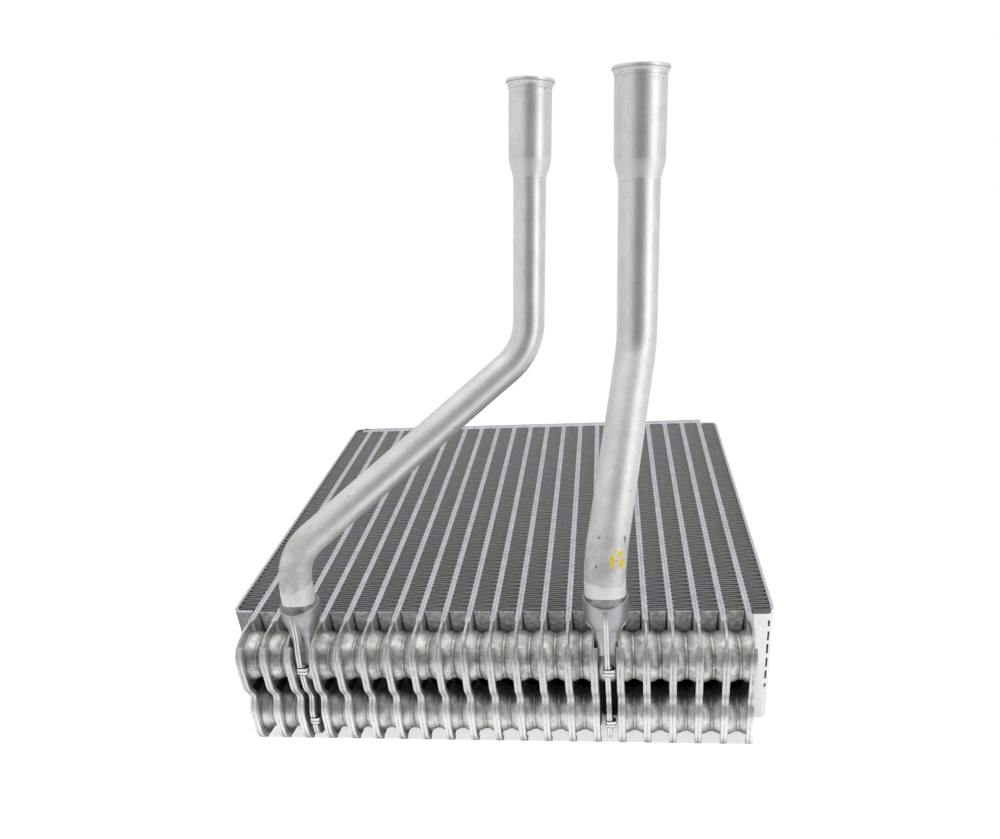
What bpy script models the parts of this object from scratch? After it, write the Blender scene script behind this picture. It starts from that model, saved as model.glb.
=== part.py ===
"""Laminated evaporator core for a vehicle air conditioner.

The core is a stack of brazed plate pairs with a corrugated fin strip in every gap. Each pair
ends at the front in two rows of drawn cups, which butt together and form the two tanks. Two
stamped manifolds stand in the tank row and hold the bent inlet and outlet pipes.

Working frame of the pieces: +X along the stack, +Y from the tanks towards the far end of the
plates, +Z out of the face that the pipes leave. X is zero at the middle plate, Y is zero where
the fins begin, Z is zero at the top face. One empty carries everything to the part's own frame,
whose origin is at the bottom centre. Lengths are in metres.
"""
import math

import bmesh
import bpy
from mathutils import Matrix, Vector

# Stack
PAIR_COUNT = 21
PLATE_PITCH = 0.0102
CORE_LENGTH = 0.1752
CORE_THICKNESS = 0.0570
JOINT_GAP = 0.0003
CUT_OVERRUN = 0.0040

# Plate pair
RIM_THICKNESS = 0.0012
CHANNEL_THICKNESS = 0.0024
CHANNEL_INSET = 0.0004
CHANNEL_TAPER = 0.0008
REAR_LIP_DEPTH = 0.0016

# Tank end of a plate
TANK_REACH = 0.0219
FLANGE_CORNER_RADIUS = 0.0105
WAIST_DEPTH = 0.0028
WAIST_HALF_HEIGHT = 0.0085
HEM_WIDTH = 0.0022
HEM_DEPTH = 0.0022
CUP_RADIUS = 0.0097
CUP_CENTRE_REACH = 0.0098
CUP_EDGE_ROUND = 0.0014
CUP_SEGMENTS = 12
CORNER_STEPS = 3

# Fin strip
FIN_FOLDS = 21
FIN_SHEET = 0.0004
FIN_END_INSET = 0.0006
FIN_EDGE_INSET = 0.0005

# Side plate
SIDE_SHEET = 0.0012
SIDE_BEND_RADIUS = 0.0036
SIDE_END_INSET = 0.0008
SIDE_BEND_STEPS = 3

# Manifold
MANIFOLD_FLANGE = 0.0018
MANIFOLD_BODY_WIDTH = 0.0080
MANIFOLD_WALL = 0.0008
MANIFOLD_SETBACK = 0.0006
MANIFOLD_REAR_CLEARANCE = 0.0012
FUNNEL_SHOULDER = 0.0030
FUNNEL_FLARE = 0.0008
FUNNEL_HEIGHT = 0.0070
FUNNEL_ROOT = 0.0050
SLEEVE_SEGMENTS = 14
PIPE_SEAT_HEIGHT = 0.0040

# Pipes
PIPE_WALL = 0.0012
PIPE_SIDES = 12
ARC_STEPS = 3
LIP_LENGTH = 0.0032
LIP_ROUND = 0.0010
TAPER_LENGTH = 0.0065

# Outlet
OUTLET_GAP_NUMBER = 15
OUTLET_DIAMETER = 0.01588
OUTLET_SOCKET_DIAMETER = 0.01935
OUTLET_LIP_DIAMETER = 0.0213
OUTLET_SOCKET_LENGTH = 0.0360
OUTLET_SLEEVE_DIAMETER = 0.0176
OUTLET_SLEEVE_HEIGHT = 0.0160
OUTLET_FIRST_RISE = 0.0292
OUTLET_SWEEP = (0.0152, 0.0517, 0.0693)
OUTLET_TOP_RUN = (0.0036, 0.0145, 0.1005)
OUTLET_BEND_RADIUS = 0.0300

# Inlet
INLET_GAP_NUMBER = 3
INLET_DIAMETER = 0.0127
INLET_SOCKET_DIAMETER = 0.0164
INLET_LIP_DIAMETER = 0.0186
INLET_SOCKET_LENGTH = 0.0350
INLET_SLEEVE_DIAMETER = 0.0156
INLET_SLEEVE_HEIGHT = 0.0125
INLET_FIRST_RISE = 0.0175
INLET_HEEL = (-0.0020, 0.0073, 0.0135)
INLET_SWEEP = (0.0958, 0.0478, 0.0656)
INLET_TOP_RUN = (0.0064, 0.0190, 0.1004)
INLET_HEEL_RADIUS = 0.0120
INLET_BEND_RADIUS = 0.0200
INLET_TOP_RADIUS = 0.0260

# Braze ring
RING_HEIGHT = 0.0014

WELD_DISTANCE = 1e-6
FLAT_ANGLE = math.radians(0.5)
SMOOTH_ANGLE = math.radians(40)
SIDE_ON = Matrix(((0, 0, 1, 0), (1, 0, 0, 0), (0, 1, 0, 0), (0, 0, 0, 1)))
FIRST_PLATE_X = -(PAIR_COUNT - 1) * PLATE_PITCH / 2
STACK_HALF_WIDTH = (PAIR_COUNT + 1) * PLATE_PITCH / 2
FIN_GAP = PLATE_PITCH - CHANNEL_THICKNESS
CUP_DROP = CORE_THICKNESS / 4
UPPER_CUP_HEIGHT = -CUP_DROP
LOWER_CUP_HEIGHT = CUP_DROP - CORE_THICKNESS
REAR_END = CORE_LENGTH + REAR_LIP_DEPTH


# Scene and object helpers

def clear_scene():
    for item in list(bpy.data.objects):
        bpy.data.objects.remove(item, do_unlink=True)


def new_collection(name):
    group = bpy.data.collections.new(name)
    bpy.context.scene.collection.children.link(group)
    return group


def metal(name, colour, roughness):
    """An aluminium finish with the given colour and roughness."""
    finish = bpy.data.materials.new(name)
    finish.use_nodes = True
    shader = finish.node_tree.nodes["Principled BSDF"]
    shader.inputs["Base Color"].default_value = (*colour, 1.0)
    shader.inputs["Roughness"].default_value = roughness
    shader.inputs["Metallic"].default_value = 1.0
    return finish


def scratch_object(mesh):
    """A helper solid that shapes another one and doesn't belong to the part."""
    item = bpy.data.objects.new("cutter", mesh)
    item.display_type = "WIRE"
    item.hide_render = True
    cutters.objects.link(item)
    return item


def mesh_from(bm):
    """A mesh with its doubles welded and each flat face in one piece."""
    bmesh.ops.remove_doubles(bm, verts=bm.verts, dist=WELD_DISTANCE)
    bmesh.ops.dissolve_limit(bm, angle_limit=FLAT_ANGLE, verts=bm.verts, edges=bm.edges)
    bmesh.ops.recalc_face_normals(bm, faces=bm.faces)
    mesh = bpy.data.meshes.new("shape")
    bm.to_mesh(mesh)
    bm.free()
    return mesh


def evaluated_mesh(item):
    """The mesh that an object's modifiers or curve settings make, with its caps welded."""
    bpy.context.view_layer.update()
    graph = bpy.context.evaluated_depsgraph_get()
    mesh = bpy.data.meshes.new_from_object(item.evaluated_get(graph))
    bm = bmesh.new()
    bm.from_mesh(mesh)
    bmesh.ops.transform(bm, matrix=item.matrix_world, verts=bm.verts)
    bpy.data.objects.remove(item)
    return mesh_from(bm)


def combined(base, others, operation):
    """Join other solids to a mesh, or cut them from it."""
    item = scratch_object(base)
    tools = [scratch_object(other) for other in others]
    for tool in tools:
        step = item.modifiers.new("step", "BOOLEAN")
        step.object = tool
        step.operation = operation
        step.solver = "EXACT"
    mesh = evaluated_mesh(item)
    for tool in tools:
        bpy.data.objects.remove(tool)
    return mesh


def place(name, mesh, finish, x=0.0):
    """Add one named piece of the part, x along the stack."""
    item = bpy.data.objects.new(name, mesh)
    part.objects.link(item)
    item.parent = carrier
    item.location.x = x
    mesh.materials.clear()
    mesh.materials.append(finish)
    mesh.shade_smooth()
    mesh.set_sharp_from_angle(angle=SMOOTH_ANGLE)
    return item


# Shape helpers

def rounded_corners(corners):
    """Replace each (u, v, radius) corner of a closed outline by an arc of that radius."""
    points = []
    count = len(corners)
    for index, (u, v, radius) in enumerate(corners):
        corner = Vector((u, v))
        if radius == 0:
            points.append(corner)
            continue
        before = (Vector(corners[index - 1][:2]) - corner).normalized()
        after = (Vector(corners[(index + 1) % count][:2]) - corner).normalized()
        half = before.angle(after) / 2
        centre = corner + (before + after).normalized() * (radius / math.sin(half))
        start = corner + before * (radius / math.tan(half)) - centre
        end = corner + after * (radius / math.tan(half)) - centre
        points += arc_points(centre, start, end, radius, CORNER_STEPS)
    return points


def arc_points(centre, start, end, radius, steps):
    """Points on an arc about a centre, from one direction to another."""
    first, last = start.normalized(), end.normalized()
    return [centre + first.slerp(last, step / steps) * radius for step in range(steps + 1)]


def flat_sheet(outline, low_x, high_x):
    """A flat piece across the stack, cut to a (Y, Z) outline."""
    curve = bpy.data.curves.new("outline", "CURVE")
    curve.dimensions = "2D"
    curve.fill_mode = "BOTH"
    curve.extrude = (high_x - low_x) / 2
    spline = curve.splines.new("POLY")
    spline.points.add(len(outline) - 1)
    for point, (u, v) in zip(spline.points, outline):
        point.co = (u, v, 0.0, 1.0)
    spline.use_cyclic_u = True
    item = bpy.data.objects.new("outline", curve)
    cutters.objects.link(item)
    item.matrix_world = Matrix.Translation(((low_x + high_x) / 2, 0, 0)) @ SIDE_ON
    mesh = evaluated_mesh(item)
    bpy.data.curves.remove(curve)
    return mesh


def block(low, high):
    """A rectangular solid between two corners."""
    low, high = Vector(low), Vector(high)
    bm = bmesh.new()
    bmesh.ops.create_cube(bm, size=1.0)
    bmesh.ops.scale(bm, vec=high - low, verts=bm.verts)
    bmesh.ops.translate(bm, vec=(low + high) / 2, verts=bm.verts)
    return bm


def drum(radius, low_x, high_x, y, z, segments):
    """A short cylinder whose axis runs along the stack."""
    bm = bmesh.new()
    bmesh.ops.create_cone(bm, cap_ends=True, segments=segments, radius1=radius,
                          radius2=radius, depth=high_x - low_x)
    bmesh.ops.transform(bm, matrix=SIDE_ON, verts=bm.verts)
    bmesh.ops.translate(bm, vec=((low_x + high_x) / 2, y, z), verts=bm.verts)
    return bm


def post(radius, low_z, high_z, y, segments):
    """A cylinder that stands upright on the tank's centre line."""
    bm = bmesh.new()
    bmesh.ops.create_cone(bm, cap_ends=True, segments=segments, radius1=radius,
                          radius2=radius, depth=high_z - low_z)
    bmesh.ops.translate(bm, vec=(0, y, (low_z + high_z) / 2), verts=bm.verts)
    return bm


# Plate pairs

def tank_outline(offset, rear):
    """The plate's outline, set back by an offset: a two-lobed front, and two corners behind."""
    front = offset - TANK_REACH
    middle = -CORE_THICKNESS / 2
    top, bottom = -offset, offset - CORE_THICKNESS
    corner = FLANGE_CORNER_RADIUS - offset
    return rounded_corners([(front, top, corner),
                            (front, middle + WAIST_HALF_HEIGHT, 0),
                            (front + WAIST_DEPTH, middle, 0),
                            (front, middle - WAIST_HALF_HEIGHT, 0),
                            (front, bottom, corner),
                            (rear, bottom, 0), (rear, top, 0)])


def plate_rim():
    """The flat sheet of a pair: the two stampings' rims, brazed together, and the tank flange."""
    half = RIM_THICKNESS / 2
    return flat_sheet(tank_outline(0, REAR_END), -half, half)


def plate_channel():
    """The refrigerant channel between the two stampings, narrowed at both ends."""
    half = CHANNEL_THICKNESS / 2
    bm = block((-half, CHANNEL_INSET, CHANNEL_INSET - CORE_THICKNESS),
               (half, CORE_LENGTH - CHANNEL_INSET, -CHANNEL_INSET))
    upright = [edge for edge in bm.edges
               if abs(edge.verts[0].co.z - edge.verts[1].co.z) > CHANNEL_THICKNESS]
    bmesh.ops.bevel(bm, geom=upright, offset=CHANNEL_TAPER, segments=1, profile=0.5,
                    affect="EDGES", material=-1)
    return mesh_from(bm)


def plate_rear_lip():
    """The end flanges, which are bent towards both neighbours and close the fin gaps."""
    half = (PLATE_PITCH - JOINT_GAP) / 2
    return mesh_from(block((-half, CORE_LENGTH, -CORE_THICKNESS), (half, REAR_END, 0)))


def plate_hem():
    """The crimped hem down the front of the flange, folded to the right."""
    start, end = CORNER_STEPS, -CORNER_STEPS - 2
    outer = tank_outline(0, 0)[start:end]
    inner = tank_outline(HEM_DEPTH, 0)[start:end]
    return flat_sheet(outer + inner[::-1], 0, HEM_WIDTH)


def plate_cup(side, height):
    """One drawn cup on the left (-1) or right (+1) of a pair, with a rounded mouth."""
    reach = (PLATE_PITCH - JOINT_GAP) / 2
    bm = drum(CUP_RADIUS, 0.0, reach, -CUP_CENTRE_REACH, height, CUP_SEGMENTS)
    mouth = [edge for edge in bm.edges
             if all(vert.co.x > reach - WELD_DISTANCE for vert in edge.verts)]
    bmesh.ops.bevel(bm, geom=mouth, offset=CUP_EDGE_ROUND, segments=1, profile=0.5,
                    affect="EDGES", material=-1)
    bmesh.ops.scale(bm, vec=(side, 1, 1), verts=bm.verts)
    return mesh_from(bm)


def plate_pair_mesh(cup_sides):
    cups = [plate_cup(side, height) for side in cup_sides
            for height in (UPPER_CUP_HEIGHT, LOWER_CUP_HEIGHT)]
    return combined(plate_rim(), [plate_channel(), plate_rear_lip(), plate_hem()] + cups, "UNION")


def build_plate_pairs(finish):
    both, left_only, right_only = (plate_pair_mesh(sides) for sides in ((-1, 1), (-1,), (1,)))
    for number in range(1, PAIR_COUNT + 1):
        open_left = number == 1 or number - 1 in (INLET_GAP_NUMBER, OUTLET_GAP_NUMBER)
        open_right = number == PAIR_COUNT or number in (INLET_GAP_NUMBER, OUTLET_GAP_NUMBER)
        mesh = right_only if open_left else left_only if open_right else both
        place("plate_pair_%02d" % number, mesh, finish, plate_x(number))


def plate_x(number):
    return FIRST_PLATE_X + (number - 1) * PLATE_PITCH


# Fins

def fin_mesh(front, rear):
    """A corrugated strip: a zigzag sheet whose folds touch the plates on both sides."""
    step = (rear - front) / FIN_FOLDS
    crown = math.atan2(step, FIN_GAP)
    reach = FIN_GAP / 2 - JOINT_GAP - FIN_SHEET / 2 / math.sin(crown)
    bm = bmesh.new()
    zigzag = [bm.verts.new(((-1) ** index * reach, front + index * step, -FIN_EDGE_INSET))
              for index in range(FIN_FOLDS + 1)]
    edges = [bm.edges.new(pair) for pair in zip(zigzag, zigzag[1:])]
    made = bmesh.ops.extrude_edge_only(bm, edges=edges)["geom"]
    lower = [item for item in made if isinstance(item, bmesh.types.BMVert)]
    bmesh.ops.translate(bm, vec=(0, 0, 2 * FIN_EDGE_INSET - CORE_THICKNESS), verts=lower)
    return mesh_from(bm)


def build_fins(finish):
    front, rear = FIN_END_INSET, CORE_LENGTH - JOINT_GAP - FIN_END_INSET
    bend = SIDE_END_INSET + SIDE_BEND_RADIUS
    inner = fin_mesh(front, rear)
    outer = fin_mesh(front + bend, rear - bend)
    for number in range(1, PAIR_COUNT + 2):
        mesh = outer if number in (1, PAIR_COUNT + 1) else inner
        item = place("fin_%02d" % number, mesh, finish, plate_x(number) - PLATE_PITCH / 2)
        sheet = item.modifiers.new("sheet", "SOLIDIFY")
        sheet.thickness = FIN_SHEET
        sheet.offset = 0
        sheet.use_even_offset = True


# Side plates

def side_plate_mesh(side):
    """A sheet along the stack's end, with both ends bent inwards over the outer fin."""
    wall_x = STACK_HALF_WIDTH - CHANNEL_THICKNESS / 2 + SIDE_SHEET / 2
    flange_x = wall_x - SIDE_SHEET / 2 - FIN_GAP + 2 * JOINT_GAP
    front, rear = SIDE_END_INSET, CORE_LENGTH - SIDE_END_INSET
    outline = [(flange_x, front), (wall_x, front), (wall_x, rear), (flange_x, rear)]
    bm = bmesh.new()
    chain = [bm.verts.new((side * x, y, 0)) for x, y in outline]
    for pair in zip(chain, chain[1:]):
        bm.edges.new(pair)
    bmesh.ops.bevel(bm, geom=chain[1:3], offset=SIDE_BEND_RADIUS, segments=SIDE_BEND_STEPS,
                    profile=0.5, affect="VERTICES", material=-1)
    made = bmesh.ops.extrude_edge_only(bm, edges=bm.edges[:])["geom"]
    lower = [item for item in made if isinstance(item, bmesh.types.BMVert)]
    bmesh.ops.translate(bm, vec=(0, 0, -CORE_THICKNESS), verts=lower)
    return mesh_from(bm)


def build_side_plates(finish):
    for name, side in (("side_plate_left", -1), ("side_plate_right", 1)):
        item = place(name, side_plate_mesh(side), finish)
        sheet = item.modifiers.new("sheet", "SOLIDIFY")
        sheet.thickness = SIDE_SHEET
        sheet.offset = 0
        sheet.use_even_offset = True


# Manifolds

def manifold_flange():
    """The seam flange, which follows the plates' two-lobed front and stops short of the fins."""
    half = MANIFOLD_FLANGE / 2
    outline = tank_outline(MANIFOLD_SETBACK, -MANIFOLD_REAR_CLEARANCE)
    return flat_sheet(outline, -half, half)


def manifold_funnel(sleeve_radius, sleeve_height):
    """The neck between the plates, which opens out into the round sleeve for the pipe."""
    neck = MANIFOLD_BODY_WIDTH / 2
    shoulder = (neck + sleeve_radius) / 2 + FUNNEL_FLARE
    rings = [(neck, -FUNNEL_ROOT), (neck, JOINT_GAP), (shoulder, FUNNEL_SHOULDER),
             (sleeve_radius, FUNNEL_HEIGHT), (sleeve_radius, sleeve_height)]
    bm = bmesh.new()
    loops = []
    for half_width, height in rings:
        ring = bmesh.ops.create_circle(bm, segments=SLEEVE_SEGMENTS, radius=sleeve_radius)["verts"]
        bmesh.ops.scale(bm, vec=(half_width / sleeve_radius, 1, 1), verts=ring)
        bmesh.ops.translate(bm, vec=(0, -CUP_CENTRE_REACH, height), verts=ring)
        loops.append({edge for vert in ring for edge in vert.link_edges})
    for lower, upper in zip(loops, loops[1:]):
        bmesh.ops.bridge_loops(bm, edges=list(lower | upper))
    bmesh.ops.contextual_create(bm, geom=list(loops[0]))
    bmesh.ops.contextual_create(bm, geom=list(loops[-1]))
    return mesh_from(bm)


def manifold_mesh(pipe_radius, sleeve_radius, sleeve_height):
    """The whole manifold, hollow, before it is parted into its two stamped halves."""
    half = MANIFOLD_BODY_WIDTH / 2
    chamber_radius = CUP_RADIUS - MANIFOLD_SETBACK
    chamber = drum(chamber_radius, -half, half, -CUP_CENTRE_REACH, UPPER_CUP_HEIGHT, CUP_SEGMENTS)
    body = combined(manifold_flange(), [manifold_funnel(sleeve_radius, sleeve_height),
                                        mesh_from(chamber)], "UNION")
    hollow = drum(chamber_radius - MANIFOLD_WALL, MANIFOLD_WALL - half, half - MANIFOLD_WALL,
                  -CUP_CENTRE_REACH, UPPER_CUP_HEIGHT, CUP_SEGMENTS)
    throat = post(half - MANIFOLD_WALL, UPPER_CUP_HEIGHT, PIPE_SEAT_HEIGHT + CUT_OVERRUN,
                  -CUP_CENTRE_REACH, SLEEVE_SEGMENTS)
    seat = post(pipe_radius + JOINT_GAP, PIPE_SEAT_HEIGHT, sleeve_height + CUT_OVERRUN,
                -CUP_CENTRE_REACH, SLEEVE_SEGMENTS)
    return combined(body, [mesh_from(hollow), mesh_from(throat), mesh_from(seat)], "DIFFERENCE")


def build_manifold(name, number, pipe_diameter, sleeve_diameter, sleeve_height, finish):
    whole = manifold_mesh(pipe_diameter / 2, sleeve_diameter / 2, sleeve_height)
    x = plate_x(number) + PLATE_PITCH / 2
    reach = sleeve_diameter / 2 + CUT_OVERRUN
    low = -CORE_THICKNESS - CUT_OVERRUN
    high = sleeve_height + CUT_OVERRUN
    for side, label in ((-1, "left"), (1, "right")):
        edges = sorted((side * JOINT_GAP / 2, -side * reach))
        away = block((edges[0], -TANK_REACH - CUT_OVERRUN, low), (edges[1], CUT_OVERRUN, high))
        half = combined(whole.copy(), [mesh_from(away)], "DIFFERENCE")
        place("%s_manifold_%s" % (name, label), half, finish, x)


# Pipes

def bent_route(corners, radii):
    """Points along a pipe's centre line: straight runs joined by arcs at the inner corners."""
    points = [corners[0]]
    for before, corner, after, radius in zip(corners, corners[1:], corners[2:], radii):
        back, ahead = (before - corner).normalized(), (after - corner).normalized()
        half = back.angle(ahead) / 2
        centre = corner + (back + ahead).normalized() * (radius / math.sin(half))
        start = corner + back * (radius / math.tan(half)) - centre
        end = corner + ahead * (radius / math.tan(half)) - centre
        points += arc_points(centre, start, end, radius, ARC_STEPS)
    return points + [corners[-1]]


def tube_along(stations, sides):
    """A round solid through (point, radius) stations."""
    curve = bpy.data.curves.new("route", "CURVE")
    curve.dimensions = "3D"
    curve.bevel_depth = 1.0
    curve.bevel_resolution = sides // 2 - 2
    curve.use_fill_caps = True
    spline = curve.splines.new("POLY")
    spline.points.add(len(stations) - 1)
    for place_on, (point, radius) in zip(spline.points, stations):
        place_on.co = (*point, 1.0)
        place_on.radius = radius
    item = bpy.data.objects.new("route", curve)
    cutters.objects.link(item)
    mesh = evaluated_mesh(item)
    bpy.data.curves.remove(curve)
    return mesh


def pipe_mesh(route, diameter, socket_diameter, lip_diameter, socket_length):
    """A bent tube whose upper end is expanded to a socket with a turned-out lip."""
    mouth = route[-1]
    upward = (mouth - route[-2]).normalized()
    radius, socket, lip = diameter / 2, socket_diameter / 2, lip_diameter / 2
    outside = [(point, radius) for point in route[:-1]]
    outside += [(mouth - upward * socket_length, radius),
                (mouth - upward * (socket_length - TAPER_LENGTH), socket),
                (mouth - upward * LIP_LENGTH, socket),
                (mouth - upward * (LIP_LENGTH - LIP_ROUND), lip),
                (mouth, lip)]
    inside = [(route[0] - Vector((0, 0, CUT_OVERRUN)), radius - PIPE_WALL)]
    inside += [(point, radius - PIPE_WALL) for point in route[1:-1]]
    inside += [(mouth - upward * socket_length, radius - PIPE_WALL),
               (mouth - upward * (socket_length - TAPER_LENGTH), socket - PIPE_WALL),
               (mouth - upward * LIP_ROUND, socket - PIPE_WALL),
               (mouth + upward * CUT_OVERRUN, socket + CUT_OVERRUN)]
    bore = tube_along(inside, PIPE_SIDES)
    return combined(tube_along(outside, PIPE_SIDES), [bore], "DIFFERENCE")


def pipe_corners(number, rise, offsets):
    """Corner points of a route: up from the manifold's seat, then on by each offset."""
    x = plate_x(number) + PLATE_PITCH / 2
    corners = [Vector((x, -CUP_CENTRE_REACH, PIPE_SEAT_HEIGHT + JOINT_GAP)),
               Vector((x, -CUP_CENTRE_REACH, rise))]
    for offset in offsets:
        corners.append(corners[-1] + Vector(offset))
    return corners


def build_outlet_pipe(finish):
    corners = pipe_corners(OUTLET_GAP_NUMBER, OUTLET_FIRST_RISE, (OUTLET_SWEEP, OUTLET_TOP_RUN))
    route = bent_route(corners, (OUTLET_BEND_RADIUS, OUTLET_BEND_RADIUS))
    mesh = pipe_mesh(route, OUTLET_DIAMETER, OUTLET_SOCKET_DIAMETER, OUTLET_LIP_DIAMETER,
                     OUTLET_SOCKET_LENGTH)
    place("outlet_pipe", mesh, finish)


def build_inlet_pipe(finish):
    corners = pipe_corners(INLET_GAP_NUMBER, INLET_FIRST_RISE,
                           (INLET_HEEL, INLET_SWEEP, INLET_TOP_RUN))
    route = bent_route(corners, (INLET_HEEL_RADIUS, INLET_BEND_RADIUS, INLET_TOP_RADIUS))
    mesh = pipe_mesh(route, INLET_DIAMETER, INLET_SOCKET_DIAMETER, INLET_LIP_DIAMETER,
                     INLET_SOCKET_LENGTH)
    place("inlet_pipe", mesh, finish)


# Braze rings

def build_braze_ring(name, number, pipe_diameter, sleeve_diameter, sleeve_height, finish):
    """The ring of brazing metal that fills the corner between a pipe and its sleeve."""
    inner, outer = pipe_diameter / 2 + JOINT_GAP, sleeve_diameter / 2
    low = sleeve_height + JOINT_GAP
    profile = [(outer, low), (inner, low), (inner, low + RING_HEIGHT)]
    bm = bmesh.new()
    chain = [bm.verts.new((radius, 0, height)) for radius, height in profile]
    edges = [bm.edges.new(pair) for pair in zip(chain, chain[1:] + chain[:1])]
    bmesh.ops.spin(bm, geom=chain + edges, cent=(0, 0, 0), axis=(0, 0, 1), angle=math.tau,
                   steps=SLEEVE_SEGMENTS, use_merge=True)
    bmesh.ops.translate(bm, vec=(0, -CUP_CENTRE_REACH, 0), verts=bm.verts)
    place(name, mesh_from(bm), finish, plate_x(number) + PLATE_PITCH / 2)


clear_scene()
part = new_collection("evaporator_core")
cutters = new_collection("cutters")
carrier = bpy.data.objects.new("evaporator_frame", None)
carrier.location = (0, (TANK_REACH - REAR_END) / 2, CORE_THICKNESS)
part.objects.link(carrier)

plate_finish = metal("plate_aluminium", (0.62, 0.62, 0.66), 0.42)
fin_finish = metal("fin_aluminium", (0.30, 0.30, 0.31), 0.55)
side_finish = metal("side_sheet_aluminium", (0.66, 0.66, 0.67), 0.40)
manifold_finish = metal("manifold_aluminium", (0.60, 0.61, 0.63), 0.55)
pipe_finish = metal("pipe_aluminium", (0.72, 0.72, 0.71), 0.34)
braze_finish = metal("braze_metal", (0.50, 0.51, 0.52), 0.50)

build_plate_pairs(plate_finish)
build_fins(fin_finish)
build_side_plates(side_finish)
build_manifold("outlet", OUTLET_GAP_NUMBER, OUTLET_DIAMETER, OUTLET_SLEEVE_DIAMETER,
               OUTLET_SLEEVE_HEIGHT, manifold_finish)
build_manifold("inlet", INLET_GAP_NUMBER, INLET_DIAMETER, INLET_SLEEVE_DIAMETER,
               INLET_SLEEVE_HEIGHT, manifold_finish)
build_outlet_pipe(pipe_finish)
build_inlet_pipe(pipe_finish)
build_braze_ring("outlet_braze_ring", OUTLET_GAP_NUMBER, OUTLET_DIAMETER,
                 OUTLET_SLEEVE_DIAMETER, OUTLET_SLEEVE_HEIGHT, braze_finish)
build_braze_ring("inlet_braze_ring", INLET_GAP_NUMBER, INLET_DIAMETER,
                 INLET_SLEEVE_DIAMETER, INLET_SLEEVE_HEIGHT, braze_finish)
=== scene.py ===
"""Looks of a laminated evaporator core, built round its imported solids.

Working frame of the meshes, before they are put in place: X is zero at the middle plate, Y is zero
where the fins begin, Z is zero at the upper face of the core. Lengths are in metres.
"""
import logging
import math
from dataclasses import dataclass
from enum import Enum
from typing import Any, Callable, Iterable, Mapping, Sequence

import bmesh
import bpy
from mathutils import Matrix, Quaternion, Vector


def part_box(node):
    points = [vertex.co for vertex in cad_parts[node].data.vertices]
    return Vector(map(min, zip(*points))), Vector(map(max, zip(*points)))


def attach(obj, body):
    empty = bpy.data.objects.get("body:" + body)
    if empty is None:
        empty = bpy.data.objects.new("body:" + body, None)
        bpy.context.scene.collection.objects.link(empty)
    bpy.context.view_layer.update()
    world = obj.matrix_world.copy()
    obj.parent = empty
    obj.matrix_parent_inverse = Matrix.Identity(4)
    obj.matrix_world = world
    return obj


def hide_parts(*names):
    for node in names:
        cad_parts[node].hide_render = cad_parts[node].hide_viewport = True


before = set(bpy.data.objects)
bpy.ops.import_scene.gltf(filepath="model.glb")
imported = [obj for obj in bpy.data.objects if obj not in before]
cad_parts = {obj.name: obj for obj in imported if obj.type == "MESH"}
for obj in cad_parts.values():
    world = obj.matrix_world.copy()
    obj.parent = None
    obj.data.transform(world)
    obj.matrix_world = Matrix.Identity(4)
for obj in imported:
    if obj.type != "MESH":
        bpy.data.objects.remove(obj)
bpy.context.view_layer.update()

LOG = logging.getLogger("evaporator_core")

Pair = tuple[float, float]
Triple = tuple[float, float, float]
Colour = Triple
Edges = list[bmesh.types.BMEdge]
BODY = "root"
WELD = 1e-6
SMOOTH_ANGLE = math.radians(38)
UP = Vector((0.0, 0.0, 1.0))
WHITE: Colour = (1.0, 1.0, 1.0)


class Slot(Enum):
    """Material slots of the record."""

    PLATES = "plates"
    FINS = "fins"
    SIDE_PLATES = "side_plates"
    MANIFOLDS = "manifolds"
    PIPES = "pipes"
    BRAZE = "braze"


class Side(Enum):
    """The two directions along the stack."""

    LEFT = -1
    RIGHT = 1


class Metal(Enum):
    """Which of a piece's finishes some of its faces take."""

    SHEET = 0
    HEM = 1


# Place of the core

@dataclass(frozen=True)
class Datum:
    """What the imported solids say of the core's place and spacing.

    Attributes:
        origin: World place of the working frame's zero.
        pitch: Distance from plate to plate.
        thickness: Depth of the core below its upper face.
        rear: Far end of the plates, from the fins' front.
        half_width: Distance from the middle plate to the outer face of a side plate.
        plate_count: Number of plate pairs.
        tank_reach: How far the tank flanges stand out in front of the fins.
    """

    origin: Vector
    pitch: float
    thickness: float
    rear: float
    half_width: float
    plate_count: int = 21
    tank_reach: float = 0.0219

    @classmethod
    def read(cls) -> "Datum":
        """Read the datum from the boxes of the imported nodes.

        Returns:
            The datum of this core.
        """
        low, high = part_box("plate_pair_11")
        fins = [sum((Vector(corner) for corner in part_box(name)), Vector()) / 2
                for name in ("fin_02", "fin_21")]
        front = low.y + cls.tank_reach
        return cls(origin=Vector((0.0, front, high.z)),
                   pitch=(fins[1].x - fins[0].x) / (cls.plate_count - 2),
                   thickness=high.z - low.z, rear=high.y - front,
                   half_width=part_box("side_plate_right")[1].x)

    def plate_x(self, number: int) -> float:
        """Place of a plate along the stack, counted from 1 at the left."""
        return (number - (self.plate_count + 1) / 2) * self.pitch

    def gap_x(self, number: int) -> float:
        """Middle of the gap to the right of a plate, where gap 0 is outside plate 1."""
        return self.plate_x(number) + self.pitch / 2


DATUM = Datum.read()


# Shader expressions

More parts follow.
